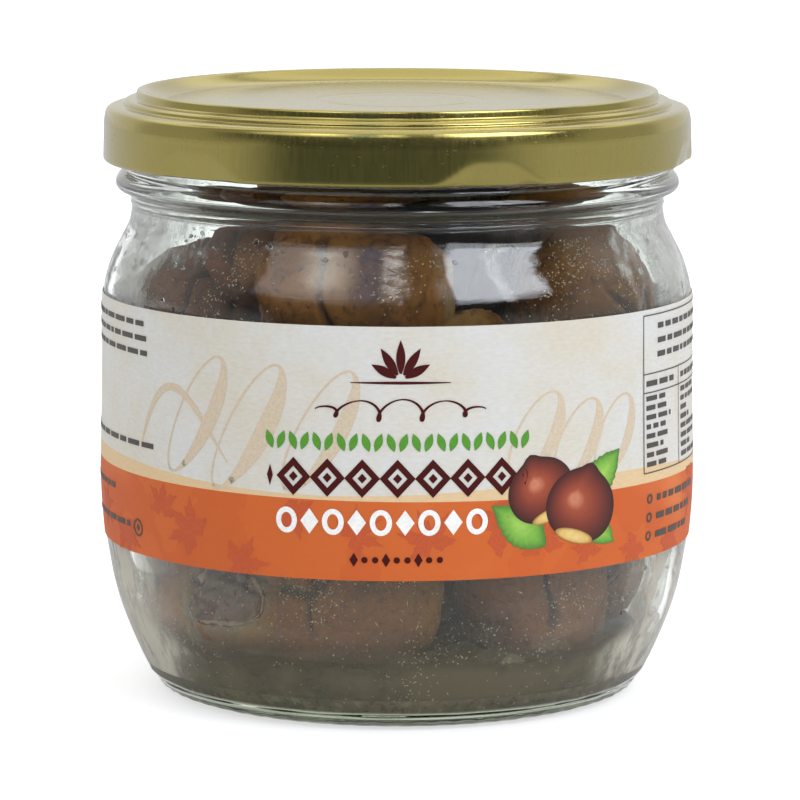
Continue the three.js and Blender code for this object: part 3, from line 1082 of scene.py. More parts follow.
HIGH_NUTS = [
    (-65, 30.2, 55.6, 0.82, 60, 0, 84, 0.3, 0, 2),
    (-14, 28.4, 59.6, 1.1, 78, 8, 0, 0.7, 4, -0.02),
    (64, 28.0, 57.8, 0.95, 12, 6, 78, 0.9, -40, -0.3),
    (118, 26.6, 55.0, 1.0, 75, 12, 0, 0.6, 10, 0.1),
    (148, 27.8, 60.6, 1.02, 20, 8, 0, 0.5, -60, 0.2),
    (-164, 27.8, 61.0, 1.0, 95, 10, 0, 0.7, 30, -0.3),
    (-118, 27.2, 52.5, 1.04, 30, 12, 0, 0.45, 75, 0.1),
    # This nut's gold is set below zero so its skin is painted nearly black: a dark nut that stands in for
    # shade in the gap between the upper nuts.
    (30, 15.0, 62.0, 1.0, 60, 20, 30, -1.3, 0, 0),
]


def furrows(d, rng):
    """How deep, from 0 to 1, each point of a unit ball lies in one of its wandering furrows."""
    around = np.arctan2(d[:, 1], d[:, 0])
    waist = np.hypot(d[:, 0], d[:, 1])
    deep = np.zeros(len(d))
    for _ in range(rng.integers(2, 5)):
        start, sway, phase = rng.uniform(-math.pi, math.pi), rng.uniform(0.1, 0.45), rng.uniform(0, 6)
        line = start + sway * np.sin(2.2 * d[:, 2] + phase) + 0.06 * np.sin(9 * d[:, 2] + phase)
        gap = np.abs(np.mod(around - line + math.pi, math.tau) - math.pi) * waist
        top, bottom = rng.uniform(0.1, 0.8), rng.uniform(-0.95, -0.4)
        ends = smooth(d[:, 2], bottom, bottom + 0.3) * (1 - smooth(d[:, 2], top - 0.3, top))
        deep = np.maximum(deep, np.exp(-((gap / rng.uniform(0.035, 0.07)) ** 2)) * ends)
    return deep


def cleft(d, facing, tilt, shift, rng):
    """How deep, from 0 to 1, each point lies in the cleft across the face turned to the glass."""
    outward = facing.T @ (0, -1, 0)
    lean = math.radians(tilt)
    across = d @ (facing.T @ (math.cos(lean), 0, math.sin(lean)))
    along = d @ (facing.T @ (-math.sin(lean), 0, math.cos(lean)))
    phase = rng.uniform(0, 6)
    line = shift + 0.07 * np.sin(3 * along + phase) + 0.02 * np.sin(11 * along + phase)
    width = 0.045 * (1 + 0.5 * np.sin(5 * along + phase))
    low, high = rng.uniform(-0.7, -0.35), rng.uniform(0.55, 0.9)
    ends = smooth(along, low, low + 0.25) * (1 - smooth(along, high - 0.25, high))
    return np.exp(-(((across - line) / width) ** 2)) * ends * smooth(d @ outward, 0, 0.35)


def nut_points(d, look, size, facing, tilt, shift, side_browning_and_shade, seed):
    """One peeled nut from the points of a unit ball: its points, hollows, scar and pale tip; the hollows
    also carry a band of roasting colour and painted shade down one side.
    """
    rng = np.random.default_rng(seed)
    half = np.array([look.wide, look.thick, look.tall]) / 2
    tip = 0.13 * smooth(d[:, 2], 0.72, 1.0)
    base = -0.12 * smooth(-d[:, 2], 0.6, 1.0)
    edge = np.exp(-(((-d[:, 2] - 0.85 + 0.03 * np.sin(3 * np.arctan2(d[:, 1], d[:, 0]))) / 0.014) ** 2))
    groove = np.maximum(furrows(d, rng), cleft(d, facing, tilt, shift, rng))
    lumps = 0.035 * ripples(d, 0.7, seed) + 0.012 * ripples(d, 0.25, seed + 1)
    creases = np.abs(ripples(d * (1, 1, 0.45), 0.12, seed + 2))
    fine = 0.004 * ripples(d, 0.06, seed + 3) - 0.007 * (1 - smooth(creases, 0, 0.5))
    scar = smooth(-d[:, 2], 0.84, 0.87)
    pits = scar * (0.02 * ripples(d, 0.1, seed + 4) - 0.025)
    reach = 1 + tip + base + lumps + fine + pits + 0.022 * edge - 0.095 * groove
    flat = np.where(d[:, 1] < 0, 0.84, 1.06)
    points = d * reach[:, None] * half * size
    points[:, 1] *= flat
    hollow = np.clip(groove + 0.35 * (1 - smooth(creases, 0, 0.4)) + side_browning_and_shade, 0, 1)
    return points, hollow, np.clip(0.5 * scar + edge, 0, 1), 0.5 * smooth(d[:, 2], 0.82, 1.0)


def nut_place(direction, out, height, roll, lean, turn):
    """The matrix that puts a nut in its place."""
    return (
        Matrix.Rotation(math.radians(direction), 4, "Z")
        @ Matrix.Translation((0, -out * MM, height * MM))
        @ Matrix.Rotation(math.radians(turn), 4, "Z")
        @ Matrix.Rotation(math.radians(lean), 4, "X")
        @ Matrix.Rotation(math.radians(roll), 4, "Y")
    )


def press_to_glass(points):
    """Flattens what would pass through the glass."""
    sizes = bpy.context.scene.jar_glass
    outline = np.array(inside_outline(sizes, -0.1)[14:]) * MM
    limit = np.interp(points[:, 2], outline[:, 1], outline[:, 0])
    share = np.minimum(1, limit / np.maximum(polar(points)[0], MM))
    pressed = points.copy()
    pressed[:, :2] *= share[:, None]
    pressed[:, 2] = np.maximum(points[:, 2], sizes.floor + 0.6 * MM)
    return pressed


def browned_and_shaded_side(d, facing, index):
    """How dark, from 0 to 1, each point lies in a broad band down one side: partly colour the roasting
    left and partly painted shade, on a side that turns by a fixed step from nut to nut.
    """
    first, apart = -147.5, 137.5
    turn = math.radians(first + apart * index)
    way = facing.T @ (math.cos(turn), 0, math.sin(turn))
    return np.exp(-(((d @ way - 0.45) / 0.33) ** 2))


def make_nuts(name, nuts, look, material, fineness, seed, browning_and_shade_share):
    """A group of nuts as one mesh, darkened on one side by a share of roasting colour and painted shade.
    """
    bm = bmesh.new()
    bmesh.ops.create_icosphere(bm, subdivisions=fineness, radius=1)
    ball = close_bmesh(bm, "ball")
    d = get_points(ball)
    d /= np.linalg.norm(d, axis=1)[:, None]
    triangles = np.array([tuple(p.vertices) for p in ball.polygons])
    points, faces, skins = [], [], []
    for i, (direction, out, height, size, roll, lean, turn, gold, tilt, shift) in enumerate(nuts):
        facing = np.array(nut_place(0, 0, 0, roll, lean, turn))[:3, :3]
        side_browning_and_shade = browning_and_shade_share * browned_and_shaded_side(d, facing, i)
        local, hollow, scar, tip = nut_points(d, look, size, facing, tilt, shift, side_browning_and_shade, seed + 17 * i)
        matrix = np.array(nut_place(direction, out, height, roll, lean, turn))
        points.append(press_to_glass(local @ matrix[:3, :3].T + matrix[:3, 3]))
        faces.append(triangles + i * len(d))
        skins.append(np.stack([gold + tip, hollow, scar], 1))
    mesh = new_mesh(name, np.vstack(points), np.vstack(faces).tolist())
    set_attribute(mesh, "skin", np.vstack(skins))
    obj = add_object(name, mesh, material)
    bpy.data.meshes.remove(ball)
    return obj


def nut_finish(look):
    """Peeled roasted nut: golden to brown, dark in its furrows, paler at its scar, moist; painted nearly
    black as shade where its gold is set below zero.
    """
    made = Finish("roasted_nut")
    skin = made.attribute("skin")
    gilt, hollow, scar = add_node(made.tree, "ShaderNodeSeparateColor", {0: skin}).outputs
    where = made.place()
    patch = made.noise(where, 95, detail=4, rough=0.55)
    fleck = made.noise(where, 900, detail=3, rough=0.6)
    blush = made.noise(where, 60, detail=2)
    gold = made.math("ADD", gilt, made.step(patch, 0.3, 0.7, -0.3, 0.3))
    body = made.mix(gold, (*look.brown, 1), (*look.golden, 1))
    # Gold set below zero turns the skin nearly black: painted shade for a nut placed to darken a gap.
    body = made.mix(made.step(gold, -0.9, -0.4), colour(46, 34, 26), body)
    body = made.mix(made.step(gold, 1.05, 1.5), body, colour(170, 148, 100))
    body = made.mix(made.step(fleck, 0.56, 0.68, 0, 0.5), body, colour(84, 54, 34))
    body = made.mix(made.step(blush, 0.6, 0.75, 0, 0.5), body, colour(132, 82, 56))
    pellicle = made.step(made.noise(where, 330, detail=2), 0.5, 0.56)
    face = made.mix(pellicle, colour(138, 112, 92), colour(104, 44, 24))
    body = made.mix(made.step(scar, 0.15, 0.4), body, face)
    body = made.mix(made.step(scar, 0.62, 0.9), body, colour(188, 158, 128))
    # The hollows channel darkens the furrows and creases, and also the band of roasting colour and painted
    # shade down one side of each nut.
    body = made.mix(made.times(hollow, 0.85), body, colour(44, 28, 20))
    made.set(
        base_color=body,
        roughness=made.step(patch, 0.3, 0.7, 0.4, 0.6),
        subsurface_weight=0.12,
        subsurface_radius=(0.004, 0.002, 0.001),
        subsurface_scale=0.5,
        specular_ior_level=0.18,
    )
    return made.bump(made.noise(where, 420, detail=4, rough=0.6), 0.0004, 0.5).material


# ---- Residue on the inner wall ----------------------------------------------------------------


def film_finish():
    """Dried starch and mist: nearly clear above, murky at the bottom, in pale smears at the sides."""
    made = Finish("starch_film")
    where = made.place()
    across, back, level = made.axes(where)
    wide = made.math("ABSOLUTE", across)
    patch = made.noise(where, 75, detail=4, rough=0.6)
    runs = made.noise(made.scaled(where, 1, 1, 0.3), 240, detail=5, rough=0.7)
    mottle = made.times(made.step(runs, 0.42, 0.58, 0.3, 1), made.step(patch, 0.4, 0.5, 0.4, 1))

    # Smears low down at both sides, and a pool of starch at the foot of the left one.
    lower = made.math("MULTIPLY_ADD", made.step(level, 14 * MM, 9 * MM), 5 * MM, wide)
    low_side = made.times(made.step(lower, 31 * MM, 37 * MM), made.step(level, 40 * MM, 34 * MM))
    pool = made.times(
        made.step(across, -28 * MM, -32 * MM),
        made.step(level, 18 * MM, 13 * MM),
        made.step(runs, 0.38, 0.5, 0.5, 0.9),
    )
    low_smear = made.times(low_side, made.math("MAXIMUM", mottle, pool), 0.95)

    # Smears above the label, which reach further in at the shoulder, and furthest on its left.
    shoulder = made.step(level, 61 * MM, 67 * MM)
    left_shoulder = made.times(made.step(across, 0, -5 * MM), shoulder)
    upper = wide
    for share, spread in ((shoulder, 4), (left_shoulder, 3), (patch, 14), (runs, 16)):
        upper = made.math("MULTIPLY_ADD", share, spread * MM, upper)
    high_smear = made.times(
        made.step(upper, 48 * MM, 53 * MM),
        made.step(level, 44 * MM, 56 * MM),
        made.math("MULTIPLY_ADD", mottle, 0.35, 0.2),
        made.step(level, 68 * MM, 73 * MM, 1, 0.35),
    )

    # Murky juice at the bottom, which clears upwards and where the smears lie.
    murk = made.times(
        made.step(level, 7.5 * MM, 14.5 * MM, 0.8, 0.07),
        made.step(level, 24 * MM, 40 * MM, 1, 0.03),
        made.step(patch, 0.3, 0.66, 0.6, 1.3),
        made.step(low_side, 0, 1, 1, 0.15),
    )
    faint_behind = made.step(back, 0, 16 * MM, 1, 0.2)
    smear = made.times(made.math("MAXIMUM", low_smear, high_smear), faint_behind)
    both = made.math("MAXIMUM", made.math("ADD", murk, smear), 0.001)
    white = made.mix(made.step(level, 38 * MM, 50 * MM), colour(250, 241, 226), colour(252, 250, 243))
    made.set(
        base_color=made.mix(made.math("DIVIDE", smear, both), colour(128, 117, 94), white),
        roughness=0.5,
        specular_ior_level=0.2,
        alpha=made.math("MINIMUM", both, 0.95),
    )
    return made.material


def make_film(sizes):
    """The film as a thin closed shell that clings to the wall from the bed of crumbs upwards."""
    inside = inside_outline(sizes)
    line = [*inside[25:30], *inside[31::2], (BORE, 76), (BORE, 80)]
    outer = [(r + 0.06, z) for r, z in line]
    inner = [(r + 0.03, z) for r, z in line]
    shell = [*outer, *inner[::-1], outer[0]]
    return add_object("starch_film", revolve(shell, film_finish(), steps=240))


def bed_finish():
    """Crumbs soaked in starch: olive grey with brown and pale bits."""
    made = Finish("crumb_bed")
    where = made.place()
    cloud = made.noise(where, 110, detail=4, rough=0.6)
    bits = made.noise(where, 700, detail=3, rough=0.6)
    body = made.mix(made.step(cloud, 0.35, 0.65), colour(112, 106, 90), colour(132, 120, 100))
    body = made.mix(made.step(bits, 0.57, 0.64, 0, 0.6), body, colour(100, 68, 44))
    body = made.mix(made.step(bits, 0.43, 0.37, 0, 0.35), body, colour(176, 168, 132))
    made.set(base_color=body, roughness=0.5)
    return made.bump(bits, 0.0004, 0.6).material


def make_bed(sizes):
    """The bed of crumbs that fills the bottom between the nuts, wet against the glass."""
    floor = sizes.floor / MM
    line = np.array(inside_outline(sizes))
    wall = line[20:]
    level = floor + 5.0
    heights = np.linspace(floor + 4.5, level, 4)
    edge = [*line[line[:, 1] < floor + 4.4], *zip(np.interp(heights, wall[:, 1], wall[:, 0]), heights)]
    wet = [smooth(z, floor + 0.3, floor + 1.5) for _, z in edge]
    side = [(r + 0.05 * share, z + 0.06 * (1 - share)) for (r, z), share in zip(edge, wet)]
    top = [(r, level) for r in np.linspace(side[-1][0] - 0.6, 0, 34)]
    mesh = revolve([*side, *top], bed_finish(), steps=220)
    points = get_points(mesh)
    radius = polar(points)[0]
    rim = radius > (side[-1][0] - 0.3) * MM
    upper = smooth(points[:, 2], (level - 1.2) * MM, level * MM)
    flat = points * (1, 1, 0)
    lumps = 1.2 * ripples(flat, 7 * MM, SEED + 5) + 0.5 * ripples(flat, 2.2 * MM, SEED + 6)
    points[:, 2] += upper * (lumps + 0.8) * MM
    reach = (np.interp(points[:, 2] / MM, wall[:, 1], wall[:, 0]) + 0.05) * MM
    moved = np.where(rim & (upper > 0), reach, np.minimum(radius, reach))
    high = points[:, 2] > (floor + 2) * MM
    points[:, :2] *= np.where(high, moved / np.maximum(radius, MM), 1)[:, None]
    set_points(mesh, points)
    return add_object("crumb_bed", mesh)


def drop_finish():
    """Clear water."""
    made = Finish("mist_drops")
    return made.set(transmission_weight=1.0, roughness=0.0, ior=1.33).material


# Where grains crowd: degrees from the front, height and reach in millimetres, and how thickly.
CROWDS = [
    (-18, 22, 3.2, 1.1), (-10, 18.5, 4.5, 0.8), (3, 19, 3.5, 1.0), (9, 12, 4.5, 1.2), (20, 20.5, 1.8, 1.4),
    (22, 10.5, 3.5, 1.2), (33, 13.5, 4, 1.2), (-2, 10, 5, 0.7), (45, 18, 5, 0.6), (-27, 24, 4, 0.6),
    (37, 71, 3.5, 1.3), (33, 63, 2.6, 1.1), (45, 66, 4, 0.9), (12, 68, 3, 1.0), (22, 69, 3, 0.9),
    (-41, 67.5, 2.4, 1.6), (-35, 62, 3, 0.9), (-48, 71, 3, 1.0), (0, 64, 2.2, 1.6), (-31, 56, 3, 0.8),
    (20, 55.5, 2.5, 1.2), (52, 60, 3, 0.9),
]


def add_places(wall):
    """Marks on the bare wall how thickly starch specks and water drops lie."""
    points = get_points(wall.data) / MM
    around = np.degrees(polar(points)[1])
    level = points[:, 2]
    low = 1 - smooth(level, 22, 27)
    shoulder = smooth(level, 56, 59)
    neck = smooth(level, 65, 68)
    right = smooth(around, 22, 36) * (1 - smooth(around, 70, 90))
    left = smooth(around, -80, -60) * (1 - smooth(around, -30, -16))
    specks = 0.3 * low + shoulder * np.maximum(0.08, np.maximum(0.4 * right, 0.25 * left)) + 0.2 * neck
    wall_radius = 41
    for where, height, reach, share in CROWDS:
        gap = np.hypot(np.radians(around - where) * wall_radius, level - height)
        specks += share * np.exp(-((gap / reach) ** 2))
    sides = smooth(np.abs(points[:, 0]), 27, 33)
    drops = shoulder * (0.1 + sides) + 0.6 * neck + 0.2 * low * sides
    set_attribute(wall.data, "places", np.stack([specks, drops, np.ones(len(level))], 1))


def scatter_tree():
    """A tree that scatters copies of a grain over a wall, thickest where its marks and noise agree."""
    tree = bpy.data.node_groups.new("Scatter grains", "GeometryNodeTree")
    start, end = named_inputs(
        tree, Wall="Geometry", Grain="Object", Density="Float", Size="Float", Patch="Float", Seed="Int",
        Places="Vector", Finish="Material",
    )
    given = start.outputs
    clouds = {"Scale": given["Patch"], "Detail": 4.0, "Roughness": 0.65}
    patch = add_node(tree, "ShaderNodeTexNoise", clouds).outputs[0]
    thick = add_node(tree, "ShaderNodeMapRange", {0: patch, 1: 0.42, 2: 0.68}).outputs[0]
    thick = math_node(tree, "POWER", thick, 2.0)
    marked = add_node(
        tree, "GeometryNodeInputNamedAttribute", {"Name": "places"}, data_type="FLOAT_VECTOR"
    ).outputs[0]
    chosen = add_node(
        tree, "ShaderNodeVectorMath", {0: marked, 1: given["Places"]}, operation="DOT_PRODUCT"
    )
    thick = math_node(tree, "MULTIPLY", thick, chosen.outputs["Value"])
    density = math_node(tree, "MULTIPLY", thick, given["Density"])
    crowd = {"Mesh": given["Wall"], "Density": density, "Seed": given["Seed"]}
    spots = add_node(tree, "GeometryNodeDistributePointsOnFaces", crowd).outputs[0]
    info = add_node(tree, "GeometryNodeObjectInfo", {"Object": given["Grain"]})
    sizes = {2: 0.4, 3: 1.0, "Seed": given["Seed"]}
    chance = add_node(tree, "FunctionNodeRandomValue", sizes, data_type="FLOAT").outputs[1]
    size = math_node(tree, "MULTIPLY", math_node(tree, "POWER", chance, 3.0), given["Size"])
    turns = {0: (0.0, 0.0, 0.0), 1: (6.28, 6.28, 6.28), "Seed": given["Seed"]}
    spin = add_node(tree, "FunctionNodeRandomValue", turns, data_type="FLOAT_VECTOR").outputs[0]
    lumps = {"Points": spots, "Instance": info.outputs["Geometry"], "Rotation": spin, "Scale": size}
    copies = add_node(tree, "GeometryNodeInstanceOnPoints", lumps)
    close_tree(tree, copies.outputs[0], given["Finish"], end)
    return tree


def grain(name, seed, stretch=(1, 1, 1), sides=0):
    """A small uneven lump, one unit across: a ball with so many sides round it, or a faceted one."""
    bm = bmesh.new()
    if sides:
        bmesh.ops.create_uvsphere(bm, u_segments=sides, v_segments=sides // 2, radius=0.5)
        bmesh.ops.triangulate(bm, faces=bm.faces)
    else:
        bmesh.ops.create_icosphere(bm, subdivisions=1, radius=0.5)
    mesh = close_bmesh(bm, name)
    points = get_points(mesh)
    set_points(mesh, points * (1 + 0.22 * ripples(points, 0.5, seed)[:, None]) * stretch)
    return add_object(name, mesh)


def scatter(name, wall, lump, density, size, patch, seed, places, material):
    """Grains scattered over the inner wall as one mesh."""
    tree = bpy.data.node_groups.get("Scatter grains") or scatter_tree()
    mesh = run_tree(
        tree, wall, Grain=lump, Density=density, Size=size, Patch=patch, Seed=seed, Places=places,
        Finish=material,
    )
    return add_object(name, mesh)


# ---- Operators --------------------------------------------------------------------------------


class JAR_OT_glass(bpy.types.Operator):
    """Make the glass jar"""

    bl_idname = "jar.make_glass"
    bl_label = "Make the glass"

    def execute(self, context):
        keep(make_glass(context.scene.jar_glass), "glass", "jar")
        return {"FINISHED"}


class JAR_OT_lid(bpy.types.Operator):
    """Make the twist-off lid and its lining of sealing compound"""

    bl_idname = "jar.make_lid"
    bl_label = "Make the lid"

    def execute(self, context):
        keep(make_lid(context.scene.jar_lid), "lid_metal", "lid")
        keep(make_seal(), "lid_metal")
        return {"FINISHED"}


class JAR_OT_label(bpy.types.Operator):
    """Make the paper label"""

    bl_idname = "jar.make_label"
    bl_label = "Make the label"

    def execute(self, context):
        keep(make_label(context.scene.jar_label), "label_paper", "label")
        return {"FINISHED"}


class JAR_OT_print(bpy.types.Operator):
    """Make the plain shapes printed on the label"""

    bl_idname = "jar.make_print"
    bl_label = "Make the print"

    def execute(self, context):
        draw = random.Random(SEED)
        brown = plain_finish("brown_ink", colour(72, 17, 15), roughness=0.6, gloss=0.15)
        grey = plain_finish("grey_ink", colour(72, 66, 60), roughness=0.5)
        pale = plain_finish("pale_ink", colour(204, 187, 162))
        rust = plain_finish("rust_ink", (*context.scene.jar_label.rust, 1))
        green = plain_finish("green_ink", colour(86, 147, 50), roughness=0.5, gloss=0.2)
        white = plain_finish("white_ink", colour(240, 238, 234), roughness=0.5)
        print_piece("pale_flourishes", flourishes(), pale, lift=0.02, thick=0.01)
        leaves = fallen_leaves(draw)
        print_piece("fallen_leaves", leaves, rust, lift=0.02, thick=0.01, clip=(23.2, 34.2))
        print_piece("brown_ornament", [*title_row(), *crest(), *swash(), *dots_row()], brown)
        print_piece("green_garland", garland(), green)
        print_piece("white_row", white_row(), white)
        small = [*small_print(draw), *grid_table(draw), *marks(draw)]
        print_piece("small_print", small, grey)
        make_picture()
        return {"FINISHED"}


class JAR_OT_nuts(bpy.types.Operator):
    """Make the chestnuts"""

    bl_idname = "jar.make_nuts"
    bl_label = "Make the chestnuts"

    def execute(self, context):
        look = context.scene.jar_nuts
        skin = nut_finish(look)
        # The last argument darkens one side of each nut, partly as roasting colour and partly as painted
        # shade.
        low = make_nuts("low_chestnuts", LOW_NUTS, look, skin, fineness=6, seed=100, browning_and_shade_share=0.15)
        hidden = make_nuts("middle_chestnuts", HIDDEN_NUTS, look, skin, fineness=5, seed=400, browning_and_shade_share=0.5)
        high = make_nuts("high_chestnuts", HIGH_NUTS, look, skin, fineness=6, seed=700, browning_and_shade_share=0.5)
        keep(low, "chestnut", "chestnuts")
        keep(hidden, "chestnut")
        keep(high, "chestnut")
        return {"FINISHED"}


class JAR_OT_residue(bpy.types.Operator):
    """Make the bed of crumbs and what clings to the inner wall: film, grains, drops and flecks"""

    bl_idname = "jar.make_residue"
    bl_label = "Make the residue"

    def execute(self, context):
        sizes = context.scene.jar_glass
        keep(make_bed(sizes), "chestnut")
        keep(make_film(sizes), "chestnut")
        wall_line = inside_outline(sizes)[22:-1]
        bare = plain_finish("speck", colour(228, 214, 174), 0.7)
        wall = add_object("wall", revolve(wall_line, bare, steps=240))
        add_places(wall)
        lumps = [
            grain("round_lump", 3, sides=4),
            grain("splinter", 4, (1, 0.17, 0.17), sides=4),
            grain("drop", 9, sides=8),
            grain("flake", 5, (1, 0.8, 0.25)),
        ]
        dot, splinter, drop, flake = lumps
        red = plain_finish("skin_fleck", colour(118, 58, 30), 0.6)
        on, wet, even = (1, 0, 0), (0, 1, 0), (0, 0, 1)
        # Density is in grains a square metre, size is the largest grain's, and a higher patch
        # value makes smaller clouds of grains.
        for name, lump, density, size, patch, seed, places, finish, slot in (
            ("starch_specks", dot, 15e6, 0.33 * MM, 130.0, 11, on, bare, "chestnut"),
            ("starch_splinters", splinter, 1.9e6, 1.05 * MM, 90.0, 17, on, bare, "chestnut"),
            ("mist_drops", drop, 0.9e6, 1.1 * MM, 110.0, 29, wet, drop_finish(), "glass"),
            ("skin_flecks", flake, 20000, 1.5 * MM, 90.0, 23, even, red, "chestnut"),
        ):
            keep(scatter(name, wall, lump, density, size, patch, seed, places, finish), slot)
        remove(wall, *lumps)
        return {"FINISHED"}


def add_grey_sheet():
    """A sheet round the jar that only shows in gloss: bluish dark in front, grey elsewhere.

    Near the jar, by how far out each ring of the sheet lies, the dark is lifted by a share.
    """
    azimuth = np.linspace(-180, 180, 145)
    turn = np.radians(azimuth)
    reach = (0.0365, 0.06, 0.08, 0.15, 0.24, 0.4, 1.0, 5.0)
    near = np.array((0.6, 0.4, 0.42, 1.0, 0.7, 0.1, 0, 0))
    height = 1.5 * MM
    points = [(r * math.sin(a), -r * math.cos(a), height) for a in turn for r in reach]
    width = len(reach)
    faces = [
        (i * width + j, i * width + j + 1, (i + 1) * width + j + 1, (i + 1) * width + j)
        for i in range(len(turn) - 1)
        for j in range(width - 1)
    ]
    mesh = new_mesh("grey_sheet", points, faces)
    front = smooth(azimuth, -72, -38) * (1 - smooth(azimuth, 20, 64))
    dark = (front[:, None] * (1 - near)).reshape(-1, 1)
    bluish = np.array((-1, 0.3, 0.6))
    set_attribute(mesh, "shade", 0.55 - 0.5 * dark + 0.012 * dark * bluish)
    made = Finish("grey_sheet")
    made.set(base_color=made.attribute("shade"), roughness=1.0)
    sheet = add_object("grey_sheet", mesh, made.material)
    sheet.visible_camera = False
    sheet.visible_diffuse = False
    sheet.visible_transmission = False
    sheet.visible_shadow = False


def add_studio_light(scene, look):
    """Soft light from a white room whose front is dark but for its windows."""
    world = bpy.data.worlds.new("studio")
    scene.world = world
    world.use_nodes = True
    tree = world.node_tree
    way = add_node(tree, "ShaderNodeTexCoord").outputs["Generated"]
    x, y, z = add_node(tree, "ShaderNodeSeparateXYZ", {0: way}).outputs
    azimuth = math_node(tree, "ARCTAN2", x, math_node(tree, "MULTIPLY", y, -1))
    rise = math_node(tree, "ARCSINE", z)
    wide = math_node(tree, "ABSOLUTE", azimuth)

    def step(value, edge, soft):
        """0 before an edge in degrees and 1 after it."""
        low, high = math.radians(edge - soft), math.radians(edge + soft)
        inputs = {0: value, 1: low, 2: high}
        made = add_node(tree, "ShaderNodeMapRange", inputs, interpolation_type="SMOOTHSTEP")
        return made.outputs[0]

    def pane(turn, left, right, low, high, soft):
        """1 inside a window between two azimuths and two elevations, with soft edges, in degrees."""
        inside = math_node(tree, "SUBTRACT", step(turn, left, soft), step(turn, right, soft))
        upright = math_node(tree, "SUBTRACT", step(rise, low, soft), step(rise, high, soft))
        return math_node(tree, "MULTIPLY", inside, upright)

    squeeze = {0: way, 1: (1, 1, 2.5)}
    squeezed = add_node(tree, "ShaderNodeVectorMath", squeeze, operation="MULTIPLY").outputs[0]
    cloud = {"Vector": squeezed, "Scale": 9.0, "Detail": 3.0, "Distortion": 0.8}
    twigs = add_node(tree, "ShaderNodeTexNoise", cloud).outputs[0]
    broken = add_node(tree, "ShaderNodeMapRange", {0: twigs, 1: 0.49, 2: 0.52}).outputs[0]
    glint = math_node(tree, "MULTIPLY", pane(azimuth, -6.5, 2, 26, 52, 1.5), broken)
    light = (*look.front, 1)
    # Each part of the room covers those before it.
    for share, tint in (
        (step(wide, 91, 20), look.back),
        (pane(azimuth, -116, -64, 18, 54, 7), look.shade),
        (pane(wide, 100, 190, 30, 70, 8), look.lamp),
        (pane(wide, 110, 190, 45, 50, 2), look.gap),
        (pane(azimuth, -120, -50, -12, 10, 6), look.low_side),
        (pane(azimuth, 42, 120, -12, 10, 6), look.low_side),
        (pane(wide, 76, 120, -12, 24, 8), look.low_side),
        (step(rise, 62, 6), look.ceiling),
        (pane(azimuth, -63, -20, 25, 58, 1.5), look.left_window),
        (pane(azimuth, -41, -28, 35, 47, 8), look.left_glow),
        (pane(azimuth, -20, -9, 25, 58, 4), look.left_curtain),
        (pane(azimuth, -8, 2, 28, 52, 2.5), look.left_window),
        (glint, look.left_glow),
        (pane(azimuth, 17, 24, 28, 44, 4), look.left_window),
        (pane(azimuth, 24.5, 67, 25, 58, 1.5), look.right_window),
        (pane(azimuth, 46, 50, 25, 50, 2), look.right_glow),
    ):
        layers = {0: share, 6: light, 7: (*tint, 1)}
        light = add_node(tree, "ShaderNodeMix", layers, data_type="RGBA").outputs[2]
    tree.links.new(light, tree.nodes["Background"].inputs["Color"])


class JAR_OT_stage(bpy.types.Operator):
    """Make the floor, the lights and the camera"""

    bl_idname = "jar.make_stage"
    bl_label = "Make the stage"

    def execute(self, context):
        scene = context.scene
        side = 4.0
        corners = [(-side, -side, 0), (side, -side, 0), (side, side, 0), (-side, side, 0)]
        mesh = new_mesh("floor", corners, [(0, 1, 2, 3)])
        paper = Finish("floor_paper")
        tooth = paper.noise(paper.place(), 800, detail=2)
        paper.set(base_color=colour(196, 196, 196), roughness=paper.step(tooth, 0, 1, 0.8, 1.0))
        paper.set(emission_color=colour(255, 255, 255), emission_strength=0.62)
        floor = add_object("floor", mesh, paper.material)
        add_grey_sheet()
        add_studio_light(scene, scene.jar_studio)
        scene.view_settings.view_transform = "Standard"
        add_camera(scene)
        return {"FINISHED"}


SENSOR = 36  # width in millimetres
CAMERA_FOCUS = 4729.83 / 800 * SENSOR  # from a focal length in pixels of an 800 pixel frame
CAMERA_BACK = 690 * MM
CAMERA_HIGH = 146.08 * MM
CAMERA_DOWN = 8.5703  # degrees
CAMERA_YAW = 0.036
CAMERA_ROLL = 0.107


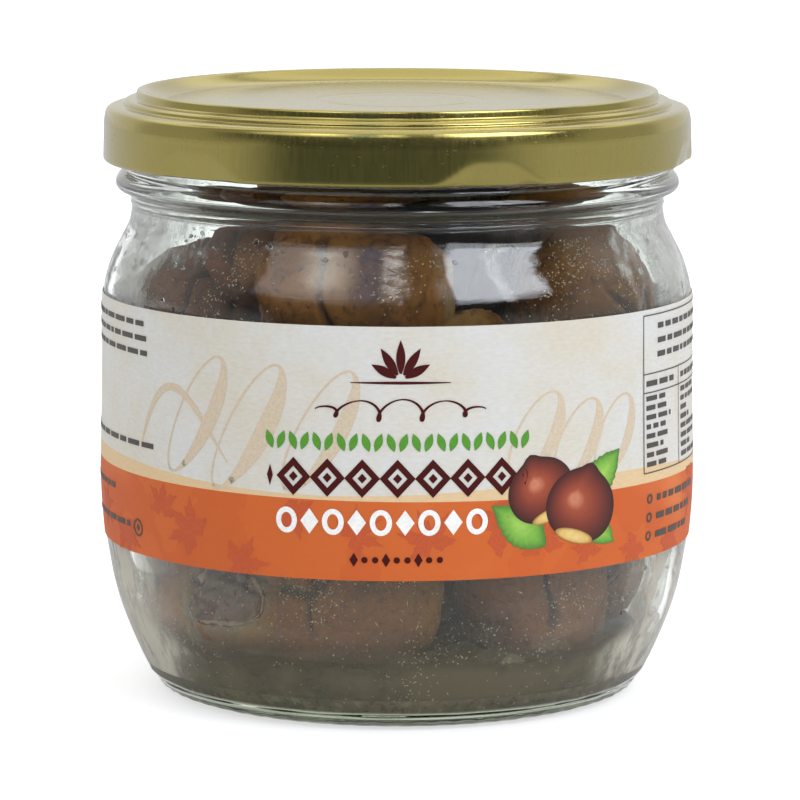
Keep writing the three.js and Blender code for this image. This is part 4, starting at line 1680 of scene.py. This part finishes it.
def add_camera(scene):
    """The camera, in front of the label and a little above the lid."""
    data = bpy.data.cameras.new("camera")
    data.sensor_width = SENSOR
    data.lens = CAMERA_FOCUS
    data.clip_start = 0.02
    camera = bpy.data.objects.new("camera", data)
    scene.collection.objects.link(camera)
    camera.matrix_world = (
        Matrix.Translation((0, -CAMERA_BACK, CAMERA_HIGH))
        @ Matrix.Rotation(math.radians(-CAMERA_YAW), 4, "Z")
        @ Matrix.Rotation(math.radians(90 - CAMERA_DOWN), 4, "X")
        @ Matrix.Rotation(math.radians(CAMERA_ROLL), 4, "Z")
    )
    scene.camera = camera


class JAR_PT_panel(bpy.types.Panel):
    """The pieces of the jar"""

    bl_idname = "JAR_PT_panel"
    bl_label = "Chestnut jar"
    bl_space_type = "VIEW_3D"
    bl_region_type = "UI"
    bl_category = "Chestnut jar"

    def draw(self, context):
        for name in SETTINGS:
            box = self.layout.box()
            group = getattr(context.scene, name)
            for field in group.bl_rna.properties:
                if field.identifier not in ("rna_type", "name"):
                    box.prop(group, field.identifier)
        for operator in OPERATORS:
            self.layout.operator(operator.bl_idname)


SETTINGS = {
    "jar_glass": JarGlassSizes,
    "jar_lid": JarLidSizes,
    "jar_label": JarLabelLook,
    "jar_nuts": JarNutLook,
    "jar_studio": JarStudioLight,
}
OPERATORS = (
    JAR_OT_glass,
    JAR_OT_lid,
    JAR_OT_label,
    JAR_OT_print,
    JAR_OT_nuts,
    JAR_OT_residue,
    JAR_OT_stage,
)


def register():
    """Registers the classes and hangs the settings on the scene."""
    for cls in (*SETTINGS.values(), *OPERATORS, JAR_PT_panel):
        bpy.utils.register_class(cls)
    for name, group in SETTINGS.items():
        setattr(bpy.types.Scene, name, PointerProperty(type=group))


def unregister():
    """Takes the settings and the classes away again."""
    for name in SETTINGS:
        delattr(bpy.types.Scene, name)
    for cls in reversed((*SETTINGS.values(), *OPERATORS, JAR_PT_panel)):
        bpy.utils.unregister_class(cls)


def main():
    """Makes every piece in order."""
    register()
    bpy.ops.jar.make_glass()
    bpy.ops.jar.make_lid()
    bpy.ops.jar.make_label()
    bpy.ops.jar.make_print()
    bpy.ops.jar.make_nuts()
    bpy.ops.jar.make_residue()
    bpy.ops.jar.make_stage()


if __name__ == "__main__":
    main()
